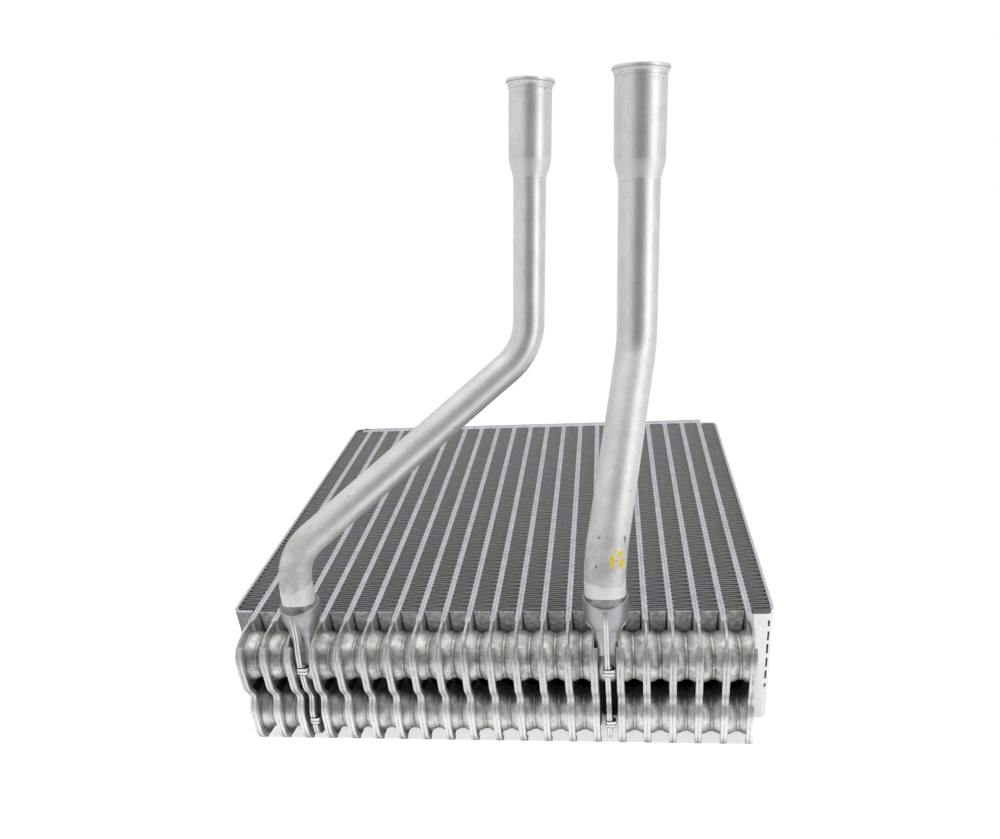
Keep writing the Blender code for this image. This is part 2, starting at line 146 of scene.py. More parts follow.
class Value:
    """A node socket that takes part in Python arithmetic."""

    def __init__(self, graph: "Graph", socket: bpy.types.NodeSocket | None) -> None:
        """Wrap a socket.

        Args:
            graph: Node tree that the socket is in.
            socket: Output socket, or None for the node that ends a tree.
        """
        self.graph = graph
        self.socket = socket

    def _math(self, operation: str, *operands: "Value | float") -> "Value":
        """Add a Math node for one operation on the operands."""
        return self.graph.node("ShaderNodeMath", {"operation": operation},
                               dict(enumerate(operands)))

    def __add__(self, other: "Value | float") -> "Value":
        """Sum of two values."""
        return self._math("ADD", self, other)

    __radd__ = __add__

    def __sub__(self, other: "Value | float") -> "Value":
        """Difference of two values."""
        return self._math("SUBTRACT", self, other)

    def __rsub__(self, other: "Value | float") -> "Value":
        """Difference with the value on the right."""
        return self._math("SUBTRACT", other, self)

    def __mul__(self, other: "Value | float") -> "Value":
        """Product of two values."""
        return self._math("MULTIPLY", self, other)

    __rmul__ = __mul__

    def __truediv__(self, other: "Value | float") -> "Value":
        """Quotient of two values."""
        return self._math("DIVIDE", self, other)

    def __abs__(self) -> "Value":
        """Size without its sign."""
        return self._math("ABSOLUTE", self)

    def direction(self, ahead: "Value") -> "Value":
        """Angle in radians whose sine goes with this value and whose cosine with the other."""
        return self._math("ARCTAN2", self, ahead)

    def fraction(self) -> "Value":
        """What is left above the next lower whole number."""
        return self._math("FRACT", self)

    def most(self, other: "Value | float") -> "Value":
        """The larger of two values."""
        return self._math("MAXIMUM", self, other)

    def between(self, low: float, high: float, blur: float) -> "Value":
        """Soft mask of a range.

        Args:
            low: Lower end of the range, where the mask is half.
            high: Upper end of the range, where the mask is half.
            blur: Width of the soft edges.

        Returns:
            A value from 0 to 1.
        """
        half = blur / 2
        return self.step(low - half, low + half) * self.step(high + half, high - half)

    def step(self, low: float, high: float) -> "Value":
        """Rise smoothly from 0 at low to 1 at high.

        Args:
            low: Value that gives 0.
            high: Value that gives 1, which may be the smaller one.

        Returns:
            A value from 0 to 1.
        """
        rising = low < high
        ends = (low, high) if rising else (high, low)
        spread = self.graph.node("ShaderNodeMapRange", {"interpolation_type": "SMOOTHSTEP"},
                                 {0: self, 1: ends[0], 2: ends[1]})
        return spread if rising else 1 - spread


class Graph:
    """The node tree of one material or of the world."""

    noise_roughness: float = 0.6

    def __init__(self, tree: bpy.types.NodeTree) -> None:
        """Start with an empty tree.

        Args:
            tree: Node tree to fill.
        """
        self.tree = tree
        self.tree.nodes.clear()

    def node(self, kind: str, settings: Mapping[str, Any] | None = None,
             inputs: Mapping[int | str, Any] | None = None, output: int | str = 0) -> Value:
        """Add a node.

        Args:
            kind: Node type.
            settings: Properties to set first.
            inputs: Numbers, colours or values for its sockets.
            output: The output socket wanted.

        Returns:
            That output.
        """
        made = self.tree.nodes.new(kind)
        for name, setting in (settings or {}).items():
            setattr(made, name, setting)
        for key, given in (inputs or {}).items():
            if isinstance(given, Value):
                self.tree.links.new(given.socket, made.inputs[key])
            else:
                made.inputs[key].default_value = given
        return Value(self, made.outputs[output] if made.outputs else None)

    def vector(self, operation: str, *operands: Any, output: int | str = 0) -> Value:
        """Add a Vector Math node for one operation on the operands."""
        return self.node("ShaderNodeVectorMath", {"operation": operation},
                         dict(enumerate(operands)), output)

    def place(self) -> Value:
        """Object coordinates, which are world coordinates on these pieces."""
        return self.node("ShaderNodeTexCoord", output="Object")

    def axes(self, vector: Value) -> tuple[Value, Value, Value]:
        """Split a vector into its three numbers."""
        outputs = self.node("ShaderNodeSeparateXYZ", inputs={0: vector}).socket.node.outputs
        return tuple(Value(self, outputs[index]) for index in range(3))

    def noise(self, vector: Value, size: float, detail: float = 4.0,
              stretch: Sequence[float] = (1.0, 1.0, 1.0)) -> Value:
        """Noise whose features are about as large as a given length.

        Args:
            vector: Place to read it at.
            size: Length of a feature.
            detail: Octaves of finer noise.
            stretch: Factor on the feature's length along X, Y and Z.

        Returns:
            A value from about 0.2 to 0.8.
        """
        scaled = self.vector("MULTIPLY", vector, tuple(1 / (size * factor) for factor in stretch))
        return self.node("ShaderNodeTexNoise",
                         inputs={"Vector": scaled, "Scale": 1.0, "Detail": detail,
                                 "Roughness": self.noise_roughness})

    def patches(self, vector: Value, size: float, contrast: Pair, detail: float = 4.0) -> Value:
        """Noise that is spread to the range from 0 to 1.

        Args:
            vector: Place to read it at.
            size: Length of a feature.
            contrast: Values of the noise that give 0 and 1.
            detail: Octaves of finer noise.

        Returns:
            A value from 0 to 1.
        """
        return self.noise(vector, size, detail).step(*contrast)

    def blend(self, factor: Value | float, first: Any, second: Any) -> Value:
        """Mix two colours.

        Args:
            factor: Share of the second one.
            first: Colour or value at 0.
            second: Colour or value at 1.

        Returns:
            The mixed colour.
        """
        ends = [(*end, 1.0) if isinstance(end, tuple) else end for end in (first, second)]
        return self.node("ShaderNodeMix", {"data_type": "RGBA"},
                         {0: factor, 6: ends[0], 7: ends[1]}, output=2)

    def bump(self, height: Value, depth: float, strength: float) -> Value:
        """Normal of a surface with a relief.

        Args:
            height: Relief from 0 to 1.
            depth: Depth of the relief in metres.
            strength: Share of the effect.

        Returns:
            The normal.
        """
        return self.node("ShaderNodeBump", inputs={"Height": height, "Distance": depth,
                                                   "Strength": strength})

    def surface(self, tone: Value, metallic: Value | float, roughness: Value | float,
                normal: Value | None = None) -> None:
        """Close the tree with a Principled BSDF.

        Args:
            tone: Base colour.
            metallic: Share of bare metal.
            roughness: Roughness.
            normal: Normal, where the surface has a relief.
        """
        inputs = {"Base Color": tone, "Metallic": metallic, "Roughness": roughness}
        if normal is not None:
            inputs["Normal"] = normal
        shader = self.node("ShaderNodeBsdfPrincipled", inputs=inputs)
        self.node("ShaderNodeOutputMaterial", inputs={"Surface": shader})


# Finishes

@dataclass(frozen=True, kw_only=True)
class Finish:
    """What every finish has: a name, and a node tree that it fills."""

    name: str

    def material(self) -> bpy.types.Material:
        """Build the material.

        Returns:
            The new material.
        """
        made = bpy.data.materials.new(self.name)
        made.use_nodes = True
        graph = Graph(made.node_tree)
        self.dress(graph, graph.place())
        return made

    def dress(self, graph: Graph, place: Value) -> None:
        """Fill the node tree.

        Args:
            graph: The empty tree.
            place: Object coordinates.
        """
        raise NotImplementedError


@dataclass(frozen=True, kw_only=True)
class MottledMetal(Finish):
    """Aluminium out of the brazing furnace, with a fine grain over a broad mottle."""

    grain: float = 0.0007
    blotch: float = 0.0045
    grain_share: float = 0.55
    contrast: Pair = (0.36, 0.64)
    relief: float = 0.00004
    relief_grain_share: float = 0.7
    relief_strength: float = 0.55

    def mottle(self, graph: Graph, place: Value) -> tuple[Value, Value]:
        """Add the mottle and the relief that goes with it.

        Args:
            graph: Tree to add to.
            place: Object coordinates.

        Returns:
            The mottle from 0 to 1, and the normal.
        """
        fine = graph.noise(place, self.grain)
        broad = graph.noise(place, self.blotch, detail=3.0)
        mottle = (fine * self.grain_share + broad * (1 - self.grain_share)).step(*self.contrast)
        relief = fine * self.relief_grain_share + broad * (1 - self.relief_grain_share)
        return mottle, graph.bump(relief, self.relief, self.relief_strength)


@dataclass(frozen=True, kw_only=True)
class BrazingMetal(MottledMetal):
    """Brazing metal that has run round a pipe: satin, slightly pitted and dark, partly its own tone
    and partly painted shade of its concave fillet.
    """

    name: str = "brazing_metal"
    # Dark tones, partly the brazing metal's own and partly painted shade of the concave fillet.
    light: Colour = (0.38, 0.38, 0.39)
    dark: Colour = (0.22, 0.22, 0.23)
    smooth: float = 0.34
    rough: float = 0.50

    def dress(self, graph: Graph, place: Value) -> None:
        """Fill the node tree.

        Args:
            graph: The empty tree.
            place: Object coordinates.
        """
        mottle, normal = self.mottle(graph, place)
        tone = graph.blend(mottle, self.dark, self.light)
        graph.surface(tone, 1.0, self.rough - mottle * (self.rough - self.smooth), normal)


@dataclass(frozen=True, kw_only=True)
class PlateSheet(MottledMetal):
    """Plate pairs: lilac-grey along the core, bright and mottled on the tank's cups.

    The lower row and the crest of the upper row are painted paler, as painted light, and the
    recess between the rows is painted near black, as painted shade. Heights are from the core's
    upper face, and other places are from the fins' front.
    """

    name: str = "brazed_plate_sheet"
    grain: float = 0.0006
    blotch: float = 0.0040
    grain_share: float = 0.4
    contrast: Pair = (0.34, 0.66)
    relief: float = 0.00012
    relief_grain_share: float = 0.6
    relief_strength: float = 0.5
    core: Colour = (0.78, 0.78, 0.83)
    core_dark: Colour = (0.62, 0.62, 0.67)
    tank: Colour = (0.85, 0.84, 0.82)
    tank_dark: Colour = (0.35, 0.34, 0.325)
    # Painted light: paler tones for the lower row and the crest of the upper row.
    pale: Colour = (0.98, 0.97, 0.95)
    pale_dark: Colour = (0.60, 0.59, 0.57)
    # Painted shade: near black for the recess between the rows.
    painted_shade: Colour = (0.03, 0.03, 0.03)
    recess_shade_share: float = 0.9
    tank_edge: Pair = (-0.0025, -0.0055)
    lower_row: Pair = (-0.0450, -0.0337)
    row_blur: float = 0.004
    crest: Pair = (-0.0090, -0.0050)
    crest_behind: Pair = (-0.0185, -0.0165)
    crest_light_share: float = 0.6
    recess_shade_heights: Pair = (-0.0302, -0.0248)
    recess_shade_behind: Pair = (-0.0186, -0.0172)
    recess_shade_blur: float = 0.0014
    recess_shade_ends: Pair = (0.0002, -0.0004)
    rough: float = 0.48
    tank_polish: float = 0.03
    mottle_polish: float = 0.08
    tank_oxide: float = 0.08

    def dress(self, graph: Graph, place: Value) -> None:
        """Fill the node tree.

        Args:
            graph: The empty tree.
            place: Object coordinates.
        """
        across, along, level = graph.axes(place)
        height = level - DATUM.origin.z
        ahead = along - DATUM.origin.y
        mottle, normal = self.mottle(graph, place)
        in_tank = ahead.step(*self.tank_edge)
        tone = graph.blend(in_tank, graph.blend(mottle, self.core_dark, self.core),
                           graph.blend(mottle, self.tank_dark, self.tank))
        # Painted light: the lower row and the crest of the upper row are lightened.
        crest = height.step(*self.crest) * ahead.step(*self.crest_behind) * self.crest_light_share
        lit = height.between(*self.lower_row, self.row_blur).most(crest) * in_tank
        tone = graph.blend(lit, tone, graph.blend(mottle, self.pale_dark, self.pale))
        # Painted shade: the recess between the rows is darkened nearly to black.
        recess = (height.between(*self.recess_shade_heights, self.recess_shade_blur) * ahead.step(*self.recess_shade_behind)
                  * self.between_plates(across) * in_tank)
        tone = graph.blend(recess * self.recess_shade_share, tone, self.painted_shade)
        roughness = self.rough - in_tank * self.tank_polish - mottle * self.mottle_polish
        graph.surface(tone, 1 - in_tank * self.tank_oxide, roughness, normal)

    def between_plates(self, across: Value) -> Value:
        """Mask of the stack without the outer faces of its two end plates."""
        end = DATUM.plate_x(DATUM.plate_count)
        return abs(across).step(end + self.recess_shade_ends[0], end + self.recess_shade_ends[1])


@dataclass(frozen=True, kw_only=True)
class SideSheetMetal(Finish):
    """Side sheet with a lilac cut edge, in light and dark copies that are painted light and shade,
    and which may have painted shade on the upper end and along a dashed crease of its front bend.

    Insets are from the sheet's outer face, and depths from the core's upper face.
    """

    light: Colour
    dark: Colour
    with_painted_shade: bool = False
    blotch: float = 0.0020
    contrast: Pair = (0.36, 0.64)
    edge: Colour = (0.66, 0.66, 0.71)
    edge_depth: float = 0.0004
    # Painted shade: the dashed dark line along the crease of the front flange, which is also rougher
    # there.
    shade_line: Colour = (0.04, 0.04, 0.04)
    shade_line_roughness: float = 0.3
    crease_inset: float = 0.0023
    crease_half: float = 0.00042
    crease_blur: float = 0.0002
    crease_span: Pair = (-0.0400, -0.0050)
    crease_fade: float = 0.001
    wander: float = 0.0008
    wander_length: float = 0.0060
    dash: float = 0.0068
    dash_share: Pair = (0.12, 0.80)
    dash_blur: float = 0.1
    dash_shift: float = 0.72
    shade: Colour = (0.16, 0.16, 0.17)
    shaded_to: float = -0.0016
    shade_blur: float = 0.0002
    flat_inset: Pair = (-0.0012, -0.0016)
    front: float = 0.0020
    front_blur: float = 0.0006
    metallic: float = 0.7
    rough: float = 0.44
    relief: float = 0.00004
    relief_strength: float = 0.5

    def dress(self, graph: Graph, place: Value) -> None:
        """Fill the node tree.

        Args:
            graph: The empty tree.
            place: Object coordinates.
        """
        x, y, z = graph.axes(place)
        height = z - DATUM.origin.z
        mottle = graph.patches(place, self.blotch, self.contrast)
        at_edge = height.step(-self.edge_depth, -self.edge_depth / 2)
        tone = graph.blend(at_edge, graph.blend(mottle, self.dark, self.light), self.edge)
        shade_line: Value | float = 0.0
        # Painted shade: a dark upper end and a dashed dark line along the crease of the front flange.
        if self.with_painted_shade:
            shade, shade_line = self.painted_shade_masks(graph, place, x - DATUM.half_width, y, height)
            tone = graph.blend(shade_line, graph.blend(shade, tone, self.shade), self.shade_line)
        graph.surface(tone, self.metallic, self.rough + shade_line * self.shade_line_roughness,
                      graph.bump(mottle - shade_line, self.relief, self.relief_strength))

    def painted_shade_masks(self, graph: Graph, place: Value, inset: Value, y: Value,
             height: Value) -> tuple[Value, Value]:
        """Masks of the painted shade on the upper end and of the dashed crease of painted shade on
        the front flange.

        Args:
            graph: Tree to add to.
            place: Object coordinates.
            inset: Place along the stack, from the sheet's outer face.
            y: Place from front to rear.
            height: Height above the core's upper face.

        Returns:
            The shade and the crease, from 0 to 1.
        """
        wander = graph.noise(place, self.wander_length, detail=1.0)
        line = inset + self.crease_inset - wander * self.wander
        crease = line.between(-self.crease_half, self.crease_half, self.crease_blur)
        dashes = (height / self.dash + wander * self.dash_shift).fraction()
        crease = crease * dashes.between(*self.dash_share, self.dash_blur)
        crease = crease * height.between(*self.crease_span, self.crease_fade)
        edge = DATUM.origin.y + self.front
        at_front = y.step(edge, edge - self.front_blur)
        shade = height.step(self.shaded_to - self.shade_blur, self.shaded_to + self.shade_blur)
        return shade * at_front * inset.step(*self.flat_inset), crease * at_front


@dataclass(frozen=True, kw_only=True)
class HemSheet(Finish):
    """Crimped hem of the flanges, with painted light: darker round the upper corner and lighter lower
    down, and thin lines of painted shade at any listed crevices.

    Heights are from the core's upper face.
    """

    name: str = "hem_sheet"
    # Painted light: darker round the upper corner and lighter lower down.
    dull: Colour = (0.74, 0.74, 0.735)
    bright: Colour = (0.98, 0.98, 0.97)
    bright_range: Pair = (-0.0250, -0.0400)
    speck: Colour = (0.50, 0.50, 0.50)
    speck_share: float = 0.22
    speck_size: float = 0.0012
    contrast: Pair = (0.34, 0.66)
    # Painted shade: thin dark lines at the listed heights.
    shaded_crevices: tuple[float, ...] = ()
    crevice_shade: Colour = (0.02, 0.02, 0.02)
    crevice_half: float = 0.00022
    crevice_blur: float = 0.0002
    rough: float = 0.48
    polish: float = 0.10
    relief: float = 0.00003
    relief_strength: float = 0.4

    def dress(self, graph: Graph, place: Value) -> None:
        """Fill the node tree.

        Args:
            graph: The empty tree.
            place: Object coordinates.
        """
        height = graph.axes(place)[2] - DATUM.origin.z
        mottle = graph.patches(place, self.speck_size, self.contrast)
        # Painted light: the tone turns lighter lower down.
        tone = graph.blend(height.step(*self.bright_range), self.dull, self.bright)
        tone = graph.blend(mottle * self.speck_share, tone, self.speck)
        # Painted shade: a thin dark line at each listed height.
        for level in self.shaded_crevices:
            shade_line = height.between(level - self.crevice_half, level + self.crevice_half,
                                  self.crevice_blur)
            tone = graph.blend(shade_line, tone, self.crevice_shade)
        graph.surface(tone, 1.0, self.rough - mottle * self.polish,
                      graph.bump(mottle, self.relief, self.relief_strength))


@dataclass(frozen=True, kw_only=True)
class EndLegSheet(Finish):
    """Front legs of the strips: dull sheet that turns near black lower down, as painted shade."""

    name: str = "strip_end_sheet"
    light: Colour = (0.96, 0.95, 0.94)
    dark: Colour = (0.62, 0.60, 0.57)
    # Painted shade: near black for the sheet lower down.
    painted_shade: Colour = (0.03, 0.03, 0.03)
    blotch: float = 0.0016
    contrast: Pair = (0.40, 0.60)
    unshaded_range: Pair = (-0.0150, -0.0050)
    unshaded_metallic: float = 0.5
    rough: float = 0.55
    relief: float = 0.00006
    relief_strength: float = 0.4

    def dress(self, graph: Graph, place: Value) -> None:
        """Fill the node tree.

        Args:
            graph: The empty tree.
            place: Object coordinates.
        """
        height = graph.axes(place)[2] - DATUM.origin.z
        mottle = graph.patches(place, self.blotch, self.contrast)
        # Painted shade: lower down the sheet turns near black and loses its metal.
        unshaded = height.step(*self.unshaded_range)
        tone = graph.blend(unshaded, self.painted_shade, graph.blend(mottle, self.dark, self.light))
        graph.surface(tone, unshaded * self.unshaded_metallic, self.rough,
                      graph.bump(mottle, self.relief, self.relief_strength))


@dataclass(frozen=True, kw_only=True)
class FinFoil(Finish):
    """Coated fin foil: grey, painted darker below its upper edge as shade, with light brazing metal
    where the folds meet the plates and painted black shade below it.
    """

    name: str = "fin_foil"
    foil: Colour = (0.75, 0.75, 0.76)
    foil_dark: Colour = (0.59, 0.59, 0.60)
    # Painted shade: the foil's tone below its upper edge, and the black at the crowns below it.
    deep_shade: Colour = (0.38, 0.38, 0.39)
    crown: Colour = (0.78, 0.78, 0.81)
    gap: Colour = (0.03, 0.028, 0.02)
    crown_range: Pair = (0.0032, 0.0037)
    deep_shade_range: Pair = (-0.00055, -0.0011)
    grain: float = 0.0011
    contrast: Pair = (0.35, 0.65)
    metallic: float = 0.35
    rough: float = 0.55
    polish: float = 0.12

    def dress(self, graph: Graph, place: Value) -> None:
        """Fill the node tree.

        Args:
            graph: The empty tree.
            place: Object coordinates.
        """
        across, _, level = graph.axes(place)
        offset = (across / DATUM.pitch).fraction() - 0.5
        at_crown = (abs(offset) * DATUM.pitch).step(*self.crown_range)
        grain = graph.patches(place, self.grain, self.contrast, detail=3.0)
        # Painted shade: the foil darkens below its upper edge, and the crowns turn black there.
        below = (level - DATUM.origin.z).step(*self.deep_shade_range)
        foil = graph.blend(below, graph.blend(grain, self.foil_dark, self.foil), self.deep_shade)
        tone = graph.blend(at_crown, foil, graph.blend(below, self.crown, self.gap))
        graph.surface(tone, self.metallic, self.rough - grain * self.polish)


@dataclass(frozen=True)
class Dab:
    """A small ragged mark on a pipe, at its centre in the working frame."""

    centre: Vector
    half_width: float
    half_height: float


@dataclass(frozen=True, kw_only=True)
class DrawnTube(Finish):
    """Satin drawn tube with a faint cloud, fine scratches, pits, a heat-dulled foot and brown lines
    of painted shade under its lip.

    Distances below the mouth run along the pipe's last straight.
    """

    foot_height: float
    mouth: Vector
    axis: Vector
    joint: float
    dabs: tuple[Dab, ...] = ()
    scars: tuple[Dab, ...] = ()
    light: Colour = (0.985, 0.98, 0.965)
    dark: Colour = (0.835, 0.83, 0.815)
    foot: Colour = (0.95, 0.95, 0.94)
    heated: Colour = (0.56, 0.55, 0.52)
    pit: Colour = (0.20, 0.19, 0.17)
    paint: Colour = (1.0, 0.76, 0.0)
    # Brown of real stains, also used for painted shade lines under the lip and at the foot of the
    # flare.
    stain_and_shade: Colour = (0.42, 0.36, 0.28)
    ring: Colour = (0.99, 0.99, 0.98)
    cloud: float = 0.009
    cloud_contrast: Pair = (0.30, 0.70)
    grain: float = 0.00032
    scratch: float = 0.0010
    scratch_stretch: Triple = (1.0, 1.0, 14.0)
    satin_shares: Triple = (0.6, 0.25, 0.15)
    satin_contrast: Pair = (0.36, 0.64)
    pit_size: float = 0.0017
    pit_contrast: Pair = (0.775, 0.80)
    pit_share: float = 0.85
    foot_edge: Pair = (0.0006, -0.0006)
    foot_wander: float = 0.002
    heated_range: Pair = (0.032, 0.004)
    heated_blotch: float = 0.0060
    heated_contrast: Pair = (0.36, 0.62)
    heated_shares: Pair = (0.20, 0.45)
    heated_oxide: float = 0.42
    dull_range: Pair = (0.090, 0.045)
    taper: float = 0.0066
    taper_share: float = 0.55
    taper_blur: float = 0.0004
    ring_span: Pair = (-0.0003, 0.0002)
    ring_blur: float = 0.0002
    # Painted shade: brown lines under the rolled lip and in the crease at the foot of the flare.
    lip_shade_line: Triple = (0.0011, 0.0014, 0.00012)
    lip_shade_line_share: float = 0.75
    neck_shade_line: Triple = (0.0033, 0.0036, 0.0002)
    neck_shade_line_share: float = 0.5
    speck_size: float = 0.0011
    speck_contrast: Pair = (0.63, 0.68)
    speck_span: Triple = (0.002, 0.006, 0.002)
    speck_share: float = 0.7
    dab_grain: float = 0.00060
    dab_ragged: Pair = (3.2, -0.95)
    dab_edge: Pair = (1.62, 1.50)
    dab_nearness: float = 150.0
    scar_share: float = 0.8
    rough: float = 0.36
    rough_grain: float = 0.12
    rough_dull: float = 0.07
    rough_foot: float = 0.14
    rough_taper: float = 0.08
    rough_pits: float = 0.2
    relief: float = 0.00004
    relief_shares: Pair = (0.75, 0.25)
    relief_strength: float = 0.6

    def dress(self, graph: Graph, place: Value) -> None:
        """Fill the node tree.

        Args:
            graph: The empty tree.
            place: Object coordinates.
        """
        height = graph.axes(place)[2] - (DATUM.origin.z + self.foot_height)
        cloud = graph.patches(place, self.cloud, self.cloud_contrast, detail=2.0)
        grain = graph.noise(place, self.grain, detail=1.0)
        scratches = graph.noise(place, self.scratch, 2.0, self.scratch_stretch)
        pits = graph.patches(place, self.pit_size, self.pit_contrast, detail=1.0)
        near_foot = height.step(*self.heated_range)
        dull = height.step(*self.dull_range)
        at_foot = (height + cloud * self.foot_wander).step(*self.foot_edge)
        fine, streaked, cloudy = self.satin_shares
        satin = (grain * fine + scratches * streaked + cloud * cloudy).step(*self.satin_contrast)
        least, more = self.heated_shares
        tint = graph.patches(place, self.heated_blotch, self.heated_contrast, detail=3.0) * more
        tone = graph.blend(satin, self.dark, self.light)
        tone = graph.blend((tint + least) * near_foot, tone, self.heated)
        tone = graph.blend(at_foot, tone, self.foot)
        below = self.below_mouth(graph, place)
        pale = below.between(self.joint - self.taper, self.joint, self.taper_blur)
        tone = graph.blend(pale * self.taper_share, tone, self.foot)
        ring = below.between(self.joint + self.ring_span[0], self.joint + self.ring_span[1],
                             self.ring_blur)
        tone = graph.blend(ring, tone, self.ring)
        # Real brown specks, and brown lines of painted shade under the lip.
        tone = graph.blend(self.stains_and_shade_lines(graph, place, below), tone, self.stain_and_shade)
        tone = graph.blend(pits * self.pit_share, tone, self.pit)
        metallic = 1 - near_foot * self.heated_oxide
        if self.scars:
            tone = graph.blend(self.dabbed(graph, place, self.scars) * self.scar_share, tone,
                               self.pit)
        if self.dabs:
            paint = self.dabbed(graph, place, self.dabs)
            tone = graph.blend(paint, tone, self.paint)
            metallic = metallic * (1 - paint)
        roughness = (self.rough + grain * self.rough_grain + dull * self.rough_dull
                     + near_foot * self.rough_foot + pale * self.rough_taper
                     + pits * self.rough_pits)
        relief = grain * self.relief_shares[0] + scratches * self.relief_shares[1]
        graph.surface(tone, metallic, roughness,
                      graph.bump(relief, self.relief, self.relief_strength))

    def below_mouth(self, graph: Graph, place: Value) -> Value:
        """Distance from the mouth along the pipe."""
        away = graph.vector("SUBTRACT", tuple(DATUM.origin + self.mouth), place)
        return graph.vector("DOT_PRODUCT", away, tuple(self.axis), output="Value")

    def stains_and_shade_lines(self, graph: Graph, place: Value, below: Value) -> Value:
        """Mask of the brown lines of painted shade under the lip and at the foot of the flare, and of
        the real brown specks round the lip.

        Args:
            graph: Tree to add to.
            place: Object coordinates.
            below: Distance from the mouth along the pipe.

        Returns:
            A value from 0 to 1.
        """
        neck = below.between(*self.neck_shade_line) * self.neck_shade_line_share
        lines = below.between(*self.lip_shade_line).most(neck)
        specks = graph.patches(place, self.speck_size, self.speck_contrast, detail=2.0)
        specks = specks * below.between(*self.speck_span)
        return (lines * self.lip_shade_line_share).most(specks * self.speck_share)

    def dabbed(self, graph: Graph, place: Value, dabs: Iterable[Dab]) -> Value:
        """Mask of some dabs with ragged edges.

        Args:
            graph: Tree to add to.
            place: Object coordinates.
            dabs: The dabs.

        Returns:
            A value from 0 to 1.
        """
        ragged = graph.noise(place, self.dab_grain) * self.dab_ragged[0] + self.dab_ragged[1]
        mask: Value | float = 0.0
        for dab in dabs:
            away = graph.vector("SUBTRACT", place, tuple(DATUM.origin + dab.centre))
            scaled = graph.vector("MULTIPLY", away,
                                  (1 / dab.half_width, self.dab_nearness, 1 / dab.half_height))
            length = graph.vector("LENGTH", scaled, output="Value")
            mask = (length + ragged).step(*self.dab_edge).most(mask)
        return mask


@dataclass(frozen=True, kw_only=True)
class WhitePaper(Finish):
    """White paper under the part, which the camera sees fade into the white background.

    Attributes:
        glow_range: Distances outside the core's outline between which the paper fades to white.
        under: Share of the white that is reached there.
        edge: Distances between which the rest of it follows.
        right_patch: Places along the stack where the glow that lights the part starts, at its right.
        front_patch: Places ahead of the core's outline where it starts, at the front.
    """

    name: str = "white_paper"
    colour: Colour = (0.90, 0.90, 0.90)
    colour_dark: Colour = (0.88, 0.88, 0.88)
    grain: float = 0.004
    glow_range: Pair = (-0.026, -0.012)
    under: float = 0.66
    edge: Pair = (-0.0084, -0.0076)
    right_patch: Pair = (0.098, 0.112)
    right_share: float = 0.60
    front_patch: Pair = (0.004, -0.012)
    front_share: float = 0.85
    glow: float = 1.1

    def dress(self, graph: Graph, place: Value) -> None:
        """Fill the node tree.

        Args:
            graph: The empty tree.
            place: Object coordinates.
        """
        x, y, _ = graph.axes(place)
        half_length = (DATUM.rear + DATUM.tank_reach) / 2
        outside = (abs(x) - DATUM.half_width).most(abs(y) - half_length)
        seen_glow = (outside.step(*self.glow_range) * self.under
                     + outside.step(*self.edge) * (1 - self.under))
        front = y.step(self.front_patch[0] - half_length, self.front_patch[1] - half_length)
        patch = x.step(*self.right_patch) * self.right_share + front * self.front_share
        tone = graph.blend(graph.noise(place, self.grain, detail=2.0), self.colour_dark, self.colour)
        paper = graph.node("ShaderNodeBsdfDiffuse", inputs={"Color": tone})
        white = graph.node("ShaderNodeEmission", inputs={"Strength": self.glow})
        seen = graph.node("ShaderNodeLightPath", output="Is Camera Ray")
        share = seen * seen_glow + (1 - seen) * patch
        mixed = graph.node("ShaderNodeMixShader", inputs={0: share, 1: paper, 2: white})
        graph.node("ShaderNodeOutputMaterial", inputs={"Surface": mixed})


@dataclass(frozen=True, kw_only=True)
class CameraCard(Finish):
    """Dark card round the camera, under a grey one that fades to the room at its edges.

    Heights are from the core's upper face, and shares across are of the card's half width.
    """

    name: str = "camera_card"
    centre: Vector = Vector((0.085, -0.27, 0.344))
    half_width: float = 0.235
    half_height: float = 0.400
    dark: float = 0.15
    grey: float = 0.34
    edge: float = 0.60
    fade_share: Pair = (1.0, 0.55)
    foot: Pair = (-0.056, -0.015)
    dark_end: Pair = (0.340, 0.260)
    grey_end: Pair = (0.740, 0.580)

    def dress(self, graph: Graph, place: Value) -> None:
        """Fill the node tree.

        Args:
            graph: The empty tree.
            place: Object coordinates.
        """
        x, _, z = graph.axes(place)
        across = abs(x - self.centre.x - DATUM.origin.x) / self.half_width
        height = z - DATUM.origin.z
        inside = across.step(*self.fade_share) * height.step(*self.foot)
        tone = (self.edge - inside * height.step(*self.grey_end) * (self.edge - self.grey)
                - inside * height.step(*self.dark_end) * (self.grey - self.dark))
        card = graph.node("ShaderNodeEmission", inputs={"Color": (*WHITE, 1.0), "Strength": tone})
        graph.node("ShaderNodeOutputMaterial", inputs={"Surface": card})

    def build(self) -> bpy.types.Object:
        """Build the card.

        Returns:
            The new object.
        """
        bm = bmesh.new()
        bmesh.ops.create_grid(bm, x_segments=1, y_segments=1, size=1.0)
        bmesh.ops.scale(bm, vec=(self.half_width, self.half_height, 1.0), verts=bm.verts)
        bmesh.ops.rotate(bm, matrix=Matrix.Rotation(math.radians(90), 3, "X"), verts=bm.verts)
        bmesh.ops.translate(bm, vec=self.centre + DATUM.origin, verts=bm.verts)
        return finished_object(self.name, bm, [self.material()])


# Painted light and shade: the left sheet is a dark shaded copy and the right sheet a near-white lit
# copy of one sheet metal.
SHADED_LEFT_SHEET = SideSheetMetal(name="side_sheet_left", light=(0.32, 0.32, 0.33),
                            dark=(0.25, 0.25, 0.26))
LIT_RIGHT_SHEET = SideSheetMetal(name="side_sheet_right", light=(0.98, 0.98, 0.97),
                             dark=(0.93, 0.93, 0.92), with_painted_shade=True)
# Darker above the core's upper face and lighter below it.
STAMPED_SHEET = HemSheet(name="manifold_sheet", dull=(0.50, 0.50, 0.53),
                         bright=(0.69, 0.69, 0.715), bright_range=(0.0010, -0.0040))
